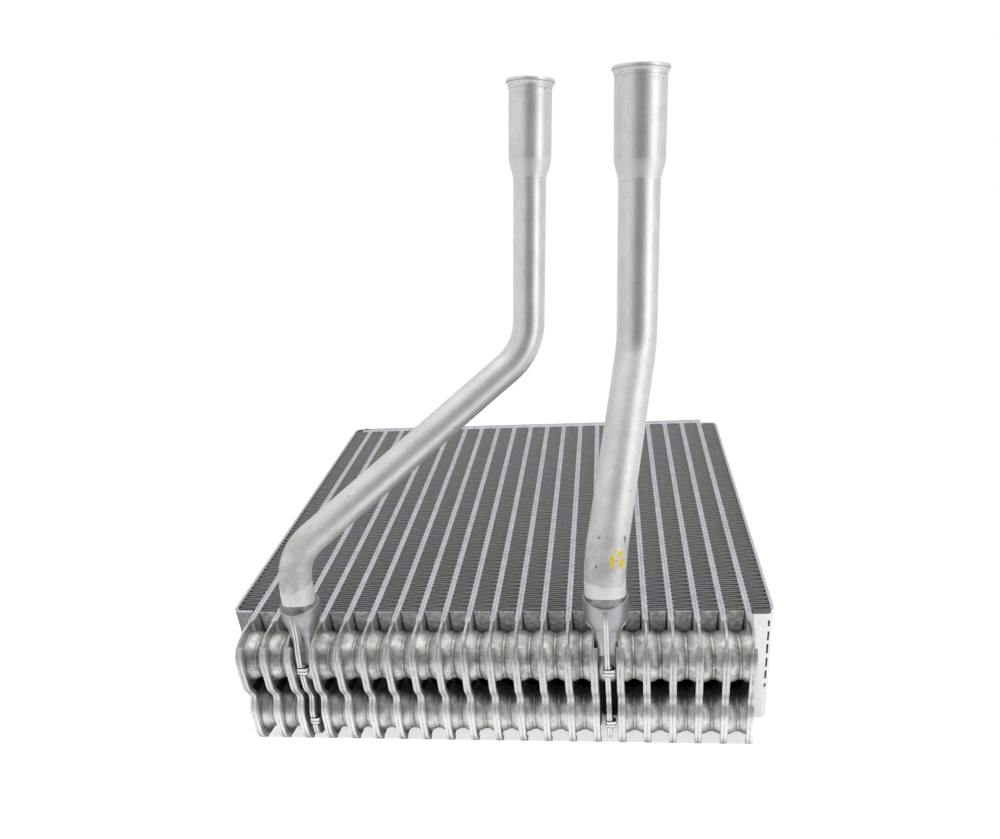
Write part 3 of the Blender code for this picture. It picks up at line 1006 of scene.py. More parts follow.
# Painted light: lighter lower down; painted shade: thin dark lines across the seam at the edges and
# middle of each crimped tab.
SEAM_SHEET = HemSheet(name="seam_sheet", dull=(0.88, 0.88, 0.89),
                      shaded_crevices=(-0.0107, -0.0124, -0.0142, -0.0374, -0.0391, -0.0408))


# Mesh helpers

def closed_ring(bm: bmesh.types.BMesh, points: Iterable[Vector]) -> Edges:
    """Join points into a closed ring of edges.

    Args:
        bm: Mesh to add to.
        points: Points in order.

    Returns:
        The ring's edges.
    """
    verts = [bm.verts.new(point) for point in points]
    return [bm.edges.new(pair) for pair in zip(verts, verts[1:] + verts[:1])]


def skin(bm: bmesh.types.BMesh, rings: Sequence[Sequence[Vector]], capped: bool = True) -> None:
    """Stretch a closed surface over rings with equally many points.

    Args:
        bm: Mesh to add to.
        rings: Rings in order.
        capped: Whether both ends are closed, or else the last ring joins the first.
    """
    loops = [closed_ring(bm, ring) for ring in rings]
    pairs = list(zip(loops, loops[1:]))
    if capped:
        for loop in (loops[0], loops[-1]):
            bmesh.ops.contextual_create(bm, geom=loop)
    else:
        pairs.append((loops[-1], loops[0]))
    for lower, upper in pairs:
        bmesh.ops.bridge_loops(bm, edges=lower + upper)


def prism(bm: bmesh.types.BMesh, outline: Sequence[Vector], along: Vector) -> None:
    """Sweep a flat outline straight along a vector.

    Args:
        bm: Mesh to add to.
        outline: Points of the outline.
        along: Way and length of the sweep.
    """
    skin(bm, [outline, [point + along for point in outline]])


def bar(bm: bmesh.types.BMesh, lines: Sequence[Sequence[Vector]], metal: Metal) -> None:
    """Stretch a bar over the lines that run along it, and close both of its ends.

    Args:
        bm: Mesh to add to.
        lines: Lines along the bar, in order round its section.
        metal: Finish of its faces.
    """
    part = bmesh.new()
    strips = [[part.verts.new(point) for point in line] for line in lines]
    edges = [[part.edges.new(pair) for pair in zip(strip, strip[1:])] for strip in strips]
    for first, second in zip(edges, edges[1:] + edges[:1]):
        bmesh.ops.bridge_loops(part, edges=first + second)
    for end in (0, -1):
        bmesh.ops.contextual_create(part, geom=[strip[end] for strip in strips])
    append(bm, part, metal)


def turned(bm: bmesh.types.BMesh, profile: Sequence[Pair], centre: Vector, axis: Vector,
           steps: int) -> None:
    """Spin a closed profile round an axis.

    Args:
        bm: Mesh to add to.
        profile: Points as (distance along the axis, radius).
        centre: Point on the axis.
        axis: Way of the axis.
        steps: Segments of the full turn.
    """
    part = bmesh.new()
    out = axis.orthogonal().normalized()
    ring = closed_ring(part, [centre + axis * along + out * radius for along, radius in profile])
    bmesh.ops.spin(part, geom=part.verts[:] + ring, cent=centre, axis=axis, angle=math.tau,
                   steps=steps, use_merge=True)
    bmesh.ops.remove_doubles(part, verts=part.verts, dist=WELD)
    bmesh.ops.recalc_face_normals(part, faces=part.faces)
    append(bm, part)


def append(bm: bmesh.types.BMesh, part: bmesh.types.BMesh, metal: Metal = Metal.SHEET) -> None:
    """Move one mesh's contents into another.

    Args:
        bm: Mesh that grows.
        part: Mesh that is used up.
        metal: Finish of the moved faces.
    """
    for face in part.faces:
        face.material_index = metal.value
    mesh = bpy.data.meshes.new("part")
    part.to_mesh(mesh)
    part.free()
    bm.from_mesh(mesh)
    bpy.data.meshes.remove(mesh)


def rounded_box(bm: bmesh.types.BMesh, low: Vector, high: Vector, radius: float,
                turn: Matrix = Matrix(), metal: Metal = Metal.SHEET) -> None:
    """Add a box with rounded edges.

    Args:
        bm: Mesh to add to.
        low: Lowest corner.
        high: Highest corner.
        radius: Radius of the edges.
        turn: Rotation about the box's middle.
        metal: Finish of its faces.
    """
    part = bmesh.new()
    bmesh.ops.create_cube(part, size=1.0)
    bmesh.ops.scale(part, vec=high - low, verts=part.verts)
    bmesh.ops.bevel(part, geom=part.edges[:], offset=radius, segments=2, profile=0.5,
                    affect="EDGES", material=-1)
    bmesh.ops.transform(part, matrix=turn, verts=part.verts)
    bmesh.ops.translate(part, vec=(low + high) / 2, verts=part.verts)
    append(bm, part, metal)


def arc(centre: Pair, radius: float, start: float, end: float, steps: int) -> list[Pair]:
    """Points on an arc in a plane.

    Args:
        centre: Centre of the arc.
        radius: Its radius.
        start: First angle in degrees.
        end: Last angle in degrees.
        steps: Number of chords.

    Returns:
        The points.
    """
    angles = [math.radians(start + (end - start) * step / steps) for step in range(steps + 1)]
    return [(centre[0] + radius * math.cos(angle), centre[1] + radius * math.sin(angle))
            for angle in angles]


def mirrored(half: Sequence[Pair], middle: Sequence[Pair] = ()) -> list[Pair]:
    """A whole section, given from its end to its middle as (share of half its width, depth)."""
    return [(-share, depth) for share, depth in half] + [*middle, *reversed(half)]


def finished_object(name: str, bm: bmesh.types.BMesh,
                    finishes: Sequence[bpy.types.Material]) -> bpy.types.Object:
    """Make an object of a mesh and link it into the scene.

    Args:
        name: Name of the object.
        bm: Its mesh in world coordinates, which is used up.
        finishes: Its materials.

    Returns:
        The new object.
    """
    mesh = bpy.data.meshes.new(name)
    bm.to_mesh(mesh)
    bm.free()
    for finish in finishes:
        mesh.materials.append(finish)
    made = bpy.data.objects.new(name, mesh)
    bpy.context.scene.collection.objects.link(made)
    return made


def add_piece(name: str, bm: bmesh.types.BMesh, finishes: Sequence[bpy.types.Material],
              replaces: Sequence[str] = (), x: float = 0.0) -> None:
    """Put a mesh into the scene as one named piece that rides on the part.

    Args:
        name: Name of the piece.
        bm: Its mesh in the working frame, which is used up.
        finishes: Its materials.
        replaces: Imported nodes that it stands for.
        x: Its place along the stack.
    """
    bmesh.ops.translate(bm, vec=(x, 0.0, 0.0), verts=bm.verts)
    bmesh.ops.recalc_face_normals(bm, faces=bm.faces)
    bmesh.ops.translate(bm, vec=DATUM.origin, verts=bm.verts)
    piece = finished_object(name, bm, finishes)
    piece.data.shade_smooth()
    piece.data.set_sharp_from_angle(angle=SMOOTH_ANGLE)
    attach(piece, BODY)
    if replaces:
        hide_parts(*replaces)
    LOG.info("%s: %d faces", name, len(piece.data.polygons))


# Plates

@dataclass(frozen=True)
class Cup:
    """A drawn cup of the tank, turned about an axis along the stack.

    Attributes:
        reach: Distance of the mouth from the middle of the pair.
        radius: Radius at the flange.
        mouth: Radius at the mouth.
        bead: Length of the bead at the mouth, or zero for none.
        bead_foot: Distance past the wall's end and depth below the mouth, where the bead starts.
        bead_rise: How far the bead's crest stands above the mouth.
        bead_near: Points up to the crest, as (distance past the wall's end, depth below it).
        bead_far: Points after the crest, as (distance before the mouth, depth below it).
    """

    reach: float
    radius: float = 0.0099
    mouth: float = 0.0086
    steps: int = 44
    base: float = 0.0004
    fillet: float = 0.0005
    fillet_share: float = 0.3
    mouth_round: float = 0.00022
    inner_share: float = 0.5
    wall_points: int = 11
    roundness: float = 1.7
    bead: float = 0.0
    bead_rise: float = 0.00020
    bead_foot: Pair = (0.00008, 0.00012)
    bead_near: tuple[Pair, ...] = ((0.00016, 0.00010), (0.00034, 0.0))
    bead_far: tuple[Pair, ...] = ((0.00022, 0.00002), (0.00006, 0.00012))

    def profile(self) -> list[Pair]:
        """Outline from the flange to the mouth, closed inside the cup.

        Returns:
            Points as (distance along the axis, radius).
        """
        hollow = self.radius * self.inner_share
        corner = self.fillet * self.fillet_share
        points = [(0.0, self.radius + self.fillet), (self.base, self.radius + self.fillet),
                  (self.base + corner, self.radius + corner)]
        start = self.base + self.fillet
        end = self.reach - max(self.bead, self.mouth_round)
        for index in range(self.wall_points):
            share = index / (self.wall_points - 1)
            points.append((start + (end - start) * share,
                           self.radius - (self.radius - self.mouth) * share ** self.roundness))
        if self.bead:
            crest = self.mouth + self.bead_rise
            points.append((end + self.bead_foot[0], self.mouth - self.bead_foot[1]))
            points += [(end + along, crest - depth) for along, depth in self.bead_near]
            points += [(self.reach - along, crest - depth) for along, depth in self.bead_far]
        return points + [(self.reach, self.mouth - self.mouth_round), (self.reach, hollow),
                         (0.0, hollow)]


@dataclass(frozen=True)
class PressedPlates:
    """The 21 brazed plate pairs, each with its channel, flange, hem, cups and end flange.

    Attributes:
        seam_section: Edge of the channel, as (share of its half thickness, depth).
        channel_nose: How the channel grows, as (place from its front, share of its thickness).
        flange_section: Edge of the flange, as (share of its half thickness, setback).
        flange_seam: The seam in its middle.
        ridges: Left side, right side and first angle of each ridge of the hem.
        ridge_section: Section of a ridge, as (share of its half width, setback).
        inlet_gap: Gap with the inlet's manifold, counted from 0 outside the first plate.
        outlet_gap: Gap with the outlet's manifold.
    """

    finish: bpy.types.Material
    hem_finish: bpy.types.Material
    channel_half: float = 0.00138
    channel_front: float = -0.0054
    seam_section: tuple[Pair, ...] = ((0.0, 0.00035), (0.10, 0.00014), (0.30, 0.0),
                                      (0.62, 0.00006), (0.88, 0.00032), (1.0, 0.0009))
    channel_nose: tuple[Pair, ...] = ((-0.0011, 0.36), (-0.000385, 0.55), (0.0, 0.92),
                                      (0.0006, 1.0))
    flange_half: float = 0.00050
    flange_rear: float = -0.0030
    flange_section: tuple[Pair, ...] = ((1.0, 0.00014), (0.7, 0.0), (0.12, 0.00002))
    flange_seam: Pair = (0.0, 0.00022)
    corner_radius: float = 0.0105
    corner_steps: int = 10
    lower_lift: float = 0.0022
    waist_depth: float = 0.0028
    waist_half_height: float = 0.0085
    waist_steps: int = 8
    waist_power: float = 1.3
    ridges: tuple[Triple, ...] = ((-0.00105, 0.00030, 40.0),
                                                      (0.00040, 0.00185, 42.0))
    ridge_section: tuple[Pair, ...] = ((1.0, 0.0016), (1.0, 0.00042), (0.82, 0.00012), (0.4, 0.0))
    hem_depth: float = 0.0020
    lean: float = 0.0017
    lean_from: float = -0.0114
    lean_power: float = 1.3
    upper_row: float = -0.01425
    lower_row: float = -0.04230
    lower_scale: float = 0.96
    cup_centre: float = -0.0098
    right_cup: Cup = Cup(reach=0.00545, bead=0.0010)
    left_cup: Cup = Cup(reach=0.00472)
    lip_depth: float = 0.0044
    lip_gap: float = 0.00004
    lip_round: float = 0.00025
    inlet_gap: int = 3
    outlet_gap: int = 15

    def front_outline(self, offset: float, start: float = 0.0) -> list[Pair]:
        """The flange's two-lobed front edge from top to bottom.

        Args:
            offset: Distance behind the edge.
            start: Angle on the upper corner where it starts, in degrees from the top.

        Returns:
            Points as (Y, Z).
        """
        front = -DATUM.tank_reach
        centre_y = front + self.corner_radius
        radius = self.corner_radius - offset
        low_z = self.corner_radius - DATUM.thickness + self.lower_lift
        upper = arc((centre_y, -self.corner_radius), radius, 90 + start, 180, self.corner_steps)
        lower = arc((centre_y, low_z), radius, 180, 270 - start, self.corner_steps)
        waist = []
        for step in range(-self.waist_steps, self.waist_steps + 1):
            share = step / self.waist_steps
            dip = (0.5 + 0.5 * math.cos(math.pi * share)) ** self.waist_power
            waist.append((front + offset + self.waist_depth * dip,
                          -DATUM.thickness / 2 - share * self.waist_half_height))
        return upper + waist + lower

    def channel_ring(self, y: float, share: float) -> list[Vector]:
        """The pair's cross-section at one place, with its two edges beaded.

        Args:
            y: Place along the plate.
            share: Factor on the half thickness.

        Returns:
            A closed ring of points.
        """
        half = self.channel_half * share
        edge = [(along * half, -depth) for along, depth in self.seam_section]
        right = edge + [(x, -DATUM.thickness - z) for x, z in reversed(edge)]
        left = [(-x, z) for x, z in reversed(right)][1:-1]
        return [Vector((x, y, z)) for x, z in right + left]

    def add_channel(self, bm: bmesh.types.BMesh) -> None:
        """Add the flat tube of the pair, which tapers in front of the fins."""
        nose = [self.channel_ring(self.channel_front + y, share) for y, share in self.channel_nose]
        skin(bm, nose + [self.channel_ring(DATUM.rear - self.lip_depth / 2, 1.0)])

    def add_flange(self, bm: bmesh.types.BMesh) -> None:
        """Add the tank flange, a thin sheet with softened edges.

        Args:
            bm: Mesh to add to.
        """
        rings = []
        for share, offset in mirrored(self.flange_section, [self.flange_seam]):
            outline = [(self.flange_rear, -offset), *self.front_outline(offset),
                       (self.flange_rear, offset - DATUM.thickness)]
            rings.append([Vector((self.flange_half * share, y, z)) for y, z in outline])
        skin(bm, rings)

    def add_ridge(self, bm: bmesh.types.BMesh, low_x: float, high_x: float,
                  start: float) -> None:
        """Add one rounded ridge of the crimped hem along the flange's front.

        Args:
            bm: Mesh to add to.
            low_x: Left side of the ridge.
            high_x: Right side of the ridge.
            start: Angle on the upper corner where the ridge starts.
        """
        middle, half = (low_x + high_x) / 2, (high_x - low_x) / 2
        section = mirrored(self.ridge_section) + [(1.0, self.hem_depth), (-1.0, self.hem_depth)]
        bar(bm, [[Vector((middle + share * half, y, z)) for y, z in self.front_outline(offset, start)]
                 for share, offset in section], Metal.HEM)

    def lean_front(self, bm: bmesh.types.BMesh, number: int) -> None:
        """Lean the front of a flange inwards, more so towards the right end of the stack.

        Args:
            bm: Mesh of the pair.
            number: The pair's number from the left.
        """
        outward = max(0.0, DATUM.plate_x(number) / DATUM.plate_x(DATUM.plate_count))
        for vert in bm.verts:
            ahead = max(0.0, self.lean_from - vert.co.y) / (self.lean_from + DATUM.tank_reach)
            vert.co.x -= self.lean * outward ** self.lean_power * ahead

    def add_lip(self, bm: bmesh.types.BMesh, sides: Sequence[Side]) -> None:
        """Add the end flange, bent towards the neighbours.

        Args:
            bm: Mesh to add to.
            sides: Sides on which the pair has a neighbour or a side sheet.
        """
        reach = DATUM.pitch / 2 - self.lip_gap
        low = -reach if Side.LEFT in sides else -self.channel_half
        high = reach if Side.RIGHT in sides else self.channel_half
        rounded_box(bm, Vector((low, DATUM.rear - self.lip_depth, -DATUM.thickness)),
                    Vector((high, DATUM.rear, 0.0)), self.lip_round)

    def add_cups(self, bm: bmesh.types.BMesh, side: Side) -> None:
        """Add both cups of one side.

        Args:
            bm: Mesh to add to.
            side: The side.
        """
        cup = self.left_cup if side is Side.LEFT else self.right_cup
        for row, scale in ((self.upper_row, 1.0), (self.lower_row, self.lower_scale)):
            profile = [(along, radius * scale) for along, radius in cup.profile()]
            turned(bm, profile, Vector((0.0, self.cup_centre, row)),
                   Vector((side.value, 0.0, 0.0)), cup.steps)

    def cup_sides(self, number: int) -> list[Side]:
        """The sides on which a pair has cups.

        Args:
            number: The pair's number from the left.

        Returns:
            The sides whose gap lies in the stack and has no manifold.
        """
        closed = (0, self.inlet_gap, self.outlet_gap, DATUM.plate_count)
        gaps = {Side.LEFT: number - 1, Side.RIGHT: number}
        return [side for side, gap in gaps.items() if gap not in closed]

    def build(self) -> None:
        """Build every pair."""
        for number in range(1, DATUM.plate_count + 1):
            bm = bmesh.new()
            self.add_channel(bm)
            self.add_flange(bm)
            for ridge in self.ridges:
                self.add_ridge(bm, *ridge)
            self.lean_front(bm, number)
            self.add_lip(bm, [Side.LEFT] if number == DATUM.plate_count else list(Side))
            for side in self.cup_sides(number):
                self.add_cups(bm, side)
            add_piece(f"pressed_plates_{number:02d}", bm, [self.finish, self.hem_finish],
                      [f"plate_pair_{number:02d}"], DATUM.plate_x(number))


# Fins

@dataclass(frozen=True)
class FinStrips:
    """The corrugated strips, with the real number of folds and a flat end leg in front.

    Insets are from the far end of the plates.
    """

    finish: bpy.types.Material
    end_finish: bpy.types.Material
    wave: float = 0.0026
    foil: float = 0.00012
    half_width: float = 0.00384
    top: float = -0.00045
    front: float = 0.0006
    rear_inset: float = 0.0046
    first_inset: float = 0.0020
    outer_setback: float = 0.0022
    crown_steps: int = 3
    crown_flatness: float = 0.82
    end_width_top: float = 0.0067
    end_width_low: float = 0.0057
    end_rise: float = 0.0003
    end_low: float = -0.0090
    end_thickness: float = 0.00025
    end_ahead: float = 0.0002
    end_round: float = 0.00008

    def path(self, rear: float, front: float) -> list[Vector]:
        """The strip's line seen from above.

        Args:
            rear: Where it ends.
            front: Where it starts.

        Returns:
            Points along the foil, with round crowns at the plates.
        """
        legs = 2 * int((rear - front) / self.wave)
        step = (rear - front) / legs
        radius = step / 2
        straight = self.half_width - radius
        points = []
        for leg in range(legs):
            side = 1 if leg % 2 else -1
            centre_y = front + (leg + 0.5) * step
            for turn in range(self.crown_steps + 1):
                angle = math.pi * (turn / self.crown_steps - 0.5)
                y = centre_y + radius * math.sin(angle) * self.crown_flatness
                points.append(Vector((side * (straight + radius * math.cos(angle)), y, self.top)))
        return points

    def build(self) -> None:
        """Build every strip and its front leg."""
        for number in range(DATUM.plate_count + 1):
            outer = number in (0, DATUM.plate_count)
            setback = self.outer_setback if outer else 0.0
            rear = DATUM.rear - (self.rear_inset + setback if number else self.first_inset)
            self.build_strip(number, self.path(rear, self.front + setback / 2))
            if not outer:
                self.build_end_leg(number)

    def build_strip(self, number: int, points: Sequence[Vector]) -> None:
        """Build one corrugated strip.

        Args:
            number: Gap that the strip is in.
            points: Its line seen from above.
        """
        bm = bmesh.new()
        verts = [bm.verts.new(point) for point in points]
        edges = [bm.edges.new(pair) for pair in zip(verts, verts[1:])]
        made = bmesh.ops.extrude_edge_only(bm, edges=edges)["geom"]
        lower = [item for item in made if isinstance(item, bmesh.types.BMVert)]
        bmesh.ops.translate(bm, vec=(0.0, 0.0, -DATUM.thickness - 2 * self.top), verts=lower)
        bmesh.ops.solidify(bm, geom=bm.faces[:], thickness=self.foil)
        add_piece(f"corrugated_strip_{number + 1:02d}", bm, [self.finish],
                  [f"fin_{number + 1:02d}"], DATUM.gap_x(number))

    def build_end_leg(self, number: int) -> None:
        """Build the flat leg that closes the front of a strip.

        Args:
            number: Gap that the strip is in.
        """
        bm = bmesh.new()
        half_top, half_low = self.end_width_top / 2, self.end_width_low / 2
        top, bottom = self.top + self.end_rise, -DATUM.thickness - self.top
        outline = [(-half_top, top), (half_top, top), (half_low, self.end_low),
                   (half_low, bottom), (-half_low, bottom), (-half_low, self.end_low)]
        ring = [Vector((x, -self.end_ahead, z)) for x, z in outline]
        prism(bm, ring, Vector((0.0, self.end_thickness, 0.0)))
        bmesh.ops.bevel(bm, geom=bm.edges[:], offset=self.end_round, segments=1, profile=0.5,
                        affect="EDGES", material=-1)
        add_piece(f"strip_end_leg_{number + 1:02d}", bm, [self.end_finish],
                  x=DATUM.gap_x(number))


# Side sheets

@dataclass(frozen=True)
class SideSheets:
    """The sheets at both ends of the stack, bent in over the outer fins."""

    finishes: Mapping[Side, bpy.types.Material]
    sheet: float = 0.0012
    bend: float = 0.0032
    front: float = -0.0002
    plate_gap: float = 0.0016
    left_rear_inset: float = 0.0006
    right_rear_inset: float = 0.0044
    edge: float = 0.00015
    steps: int = 6

    def outline(self, side: Side) -> list[Vector]:
        """The sheet seen from above.

        Args:
            side: End of the stack.

        Returns:
            A closed ring at the upper face.
        """
        centre_x = DATUM.half_width - self.bend
        inner = DATUM.plate_x(DATUM.plate_count) + self.plate_gap
        rear = DATUM.rear - (self.right_rear_inset if side is Side.RIGHT else self.left_rear_inset)
        corner_front = (centre_x, self.front + self.bend)
        corner_rear = (centre_x, rear - self.bend)
        outside = [(inner, self.front), *arc(corner_front, self.bend, -90, 0, self.steps),
                   *arc(corner_rear, self.bend, 0, 90, self.steps), (inner, rear)]
        small = self.bend - self.sheet
        inside = [(inner, rear - self.sheet), *arc(corner_rear, small, 90, 0, self.steps),
                  *arc(corner_front, small, 0, -90, self.steps), (inner, self.front + self.sheet)]
        return [Vector((side.value * x, y, 0.0)) for x, y in outside + inside]

    def build(self) -> None:
        """Build both sheets."""
        levels = (0.0, -self.edge, -DATUM.thickness + self.edge, -DATUM.thickness)
        for side, label in ((Side.LEFT, "left"), (Side.RIGHT, "right")):
            bm = bmesh.new()
            ring = self.outline(side)
            skin(bm, [[Vector((point.x, point.y, z)) for point in ring] for z in levels])
            add_piece(f"side_sheet_{label}", bm, [self.finishes[side]],
                      [f"side_plate_{label}"])


# Pipes

@dataclass(frozen=True)
class Route:
    """A pipe's centre line: straight runs joined by arcs."""

    corners: tuple[Vector, ...]
    radii: tuple[float, ...]
    steps: int = 14

    def stations(self) -> list[Vector]:
        """Points along the line, close together in the bends.

        Returns:
            The points, from the foot to the mouth.
        """
        points = [self.corners[0]]
        for before, corner, after, radius in zip(self.corners, self.corners[1:],
                                                 self.corners[2:], self.radii):
            back, ahead = (before - corner).normalized(), (after - corner).normalized()
            half = back.angle(ahead) / 2
            centre = corner + (back + ahead).normalized() * (radius / math.sin(half))
            start, end = ((corner + way * (radius / math.tan(half)) - centre).normalized()
                          for way in (back, ahead))
            points += [centre + start.slerp(end, step / self.steps) * radius
                       for step in range(self.steps + 1)]
        return points + [self.corners[-1]]


@dataclass(frozen=True)
class BentPipe:
    """A bent tube with an expanded socket and a rolled lip.

    Attributes:
        start_run: Last points of the plain tube, as distances before the socket.
        start_bead: How far the socket's taper starts above the tube.
        taper_shares: Taper, as (distance after its start, share of the step to the socket).
        taper_end: Its last points, as (distance before its end, depth below the socket).
        socket_end: Where the socket ends and the flare starts, as (distance, height).
        flare_shares: Flare, as (distance, share of the step to the lip).
        lip: Rolled edge, as (distance, height above the lip's radius).
        mouth_flare: Inside of the mouth, as (distance, height above the bore of the socket).
        mouth_inset: How far the whole mouth stays inside the route's end.
    """

    name: str
    node: str
    route: Route
    radius: float
    socket_radius: float
    lip_radius: float
    socket_length: float
    finish: bpy.types.Material
    wall: float = 0.0012
    taper: float = 0.0066
    sides: int = 48
    start_run: Pair = (0.0004, 0.00005)
    start_bead: float = 0.00026
    taper_shares: tuple[Pair, ...] = ((0.0014, 0.24), (0.0036, 0.66))
    taper_end: tuple[Pair, ...] = ((0.0012, 0.00022), (0.0, 0.00004), (-0.0010, 0.0))
    socket_end: tuple[Pair, ...] = ((0.0034, 0.0), (0.0033, 0.00005))
    flare_shares: tuple[Pair, ...] = ((0.0026, 0.16), (0.0020, 0.42), (0.0014, 0.78),
                                      (0.0012, 0.86))
    lip: tuple[Pair, ...] = ((0.0011, 0.0), (0.0009, 0.00003), (0.0003, 0.0),
                             (0.00012, -0.00006), (0.0, -0.00025))
    mouth_flare: tuple[Pair, ...] = ((0.0001, 0.0011), (0.0004, 0.0006), (0.0014, 0.0001),
                                     (0.0022, 0.0))
    mouth_inset: float = 0.00003

    def outer_profile(self) -> list[Pair]:
        """Outside of the socket.

        Returns:
            Points as (distance from the mouth, radius), from the tube to the mouth.
        """
        tube, socket, lip = self.radius, self.socket_radius, self.lip_radius
        start = self.socket_length
        end = start - self.taper
        profile = [(start + run, tube) for run in self.start_run]
        profile.append((start, tube + self.start_bead))
        profile += [(start - run, tube + (socket - tube) * share)
                    for run, share in self.taper_shares]
        profile += [(end + run, socket - depth) for run, depth in self.taper_end]
        profile += [(run, socket + height) for run, height in self.socket_end]
        profile += [(run, socket + (lip - socket) * share) for run, share in self.flare_shares]
        return profile + [(run, lip + height) for run, height in self.lip]

    def inner_profile(self) -> list[Pair]:
        """Inside of the socket.

        Returns:
            Points as (distance from the mouth, radius), from the mouth to the tube.
        """
        bore, socket = self.radius - self.wall, self.socket_radius - self.wall
        profile = [(run, socket + height) for run, height in self.mouth_flare]
        return profile + [(self.socket_length - self.taper, socket), (self.socket_length, bore)]

    def rings(self) -> list[list[Vector]]:
        """Cross-sections along the outside to the mouth and back along the bore to the foot.

        Returns:
            The rings, each as its points.
        """
        line = self.route.stations()
        mouth = line[-1]
        up = (mouth - line[-2]).normalized()
        outer = [(point, self.radius) for point in line[:-1]]
        outer += [(mouth - up * (along + self.mouth_inset), radius)
                  for along, radius in self.outer_profile()]
        inner = [(mouth - up * along, radius) for along, radius in self.inner_profile()]
        inner += [(point, self.radius - self.wall) for point in reversed(line[:-1])]
        turn, way = Quaternion(), UP
        rings = []
        for stations, sense in ((outer, 1.0), (inner, -1.0)):
            centres = [centre for centre, _ in stations]
            neighbours = zip(centres[:1] + centres, centres[1:] + centres[-1:])
            for (centre, radius), (before, after) in zip(stations, neighbours):
                ahead = (after - before).normalized() * sense
                turn = way.rotation_difference(ahead) @ turn
                way = ahead
                rings.append([centre + turn @ point for point in self.circle(radius)])
        return rings

    def circle(self, radius: float) -> list[Vector]:
        """A circle round the Z axis.

        Args:
            radius: Its radius.

        Returns:
            Its points.
        """
        angles = [math.tau * side / self.sides for side in range(self.sides)]
        return [Vector((radius * math.cos(angle), radius * math.sin(angle), 0.0))
                for angle in angles]

    def build(self) -> None:
        """Build the pipe."""
        bm = bmesh.new()
        skin(bm, self.rings(), capped=False)
        add_piece(self.name, bm, [self.finish], [self.node])


# Manifolds

def towards_front(angle: float, power: float) -> float:
    """From 0 at the sides and the rear to 1 at the front, by the angle from the front."""
    return max(0.0, math.cos(angle)) ** power


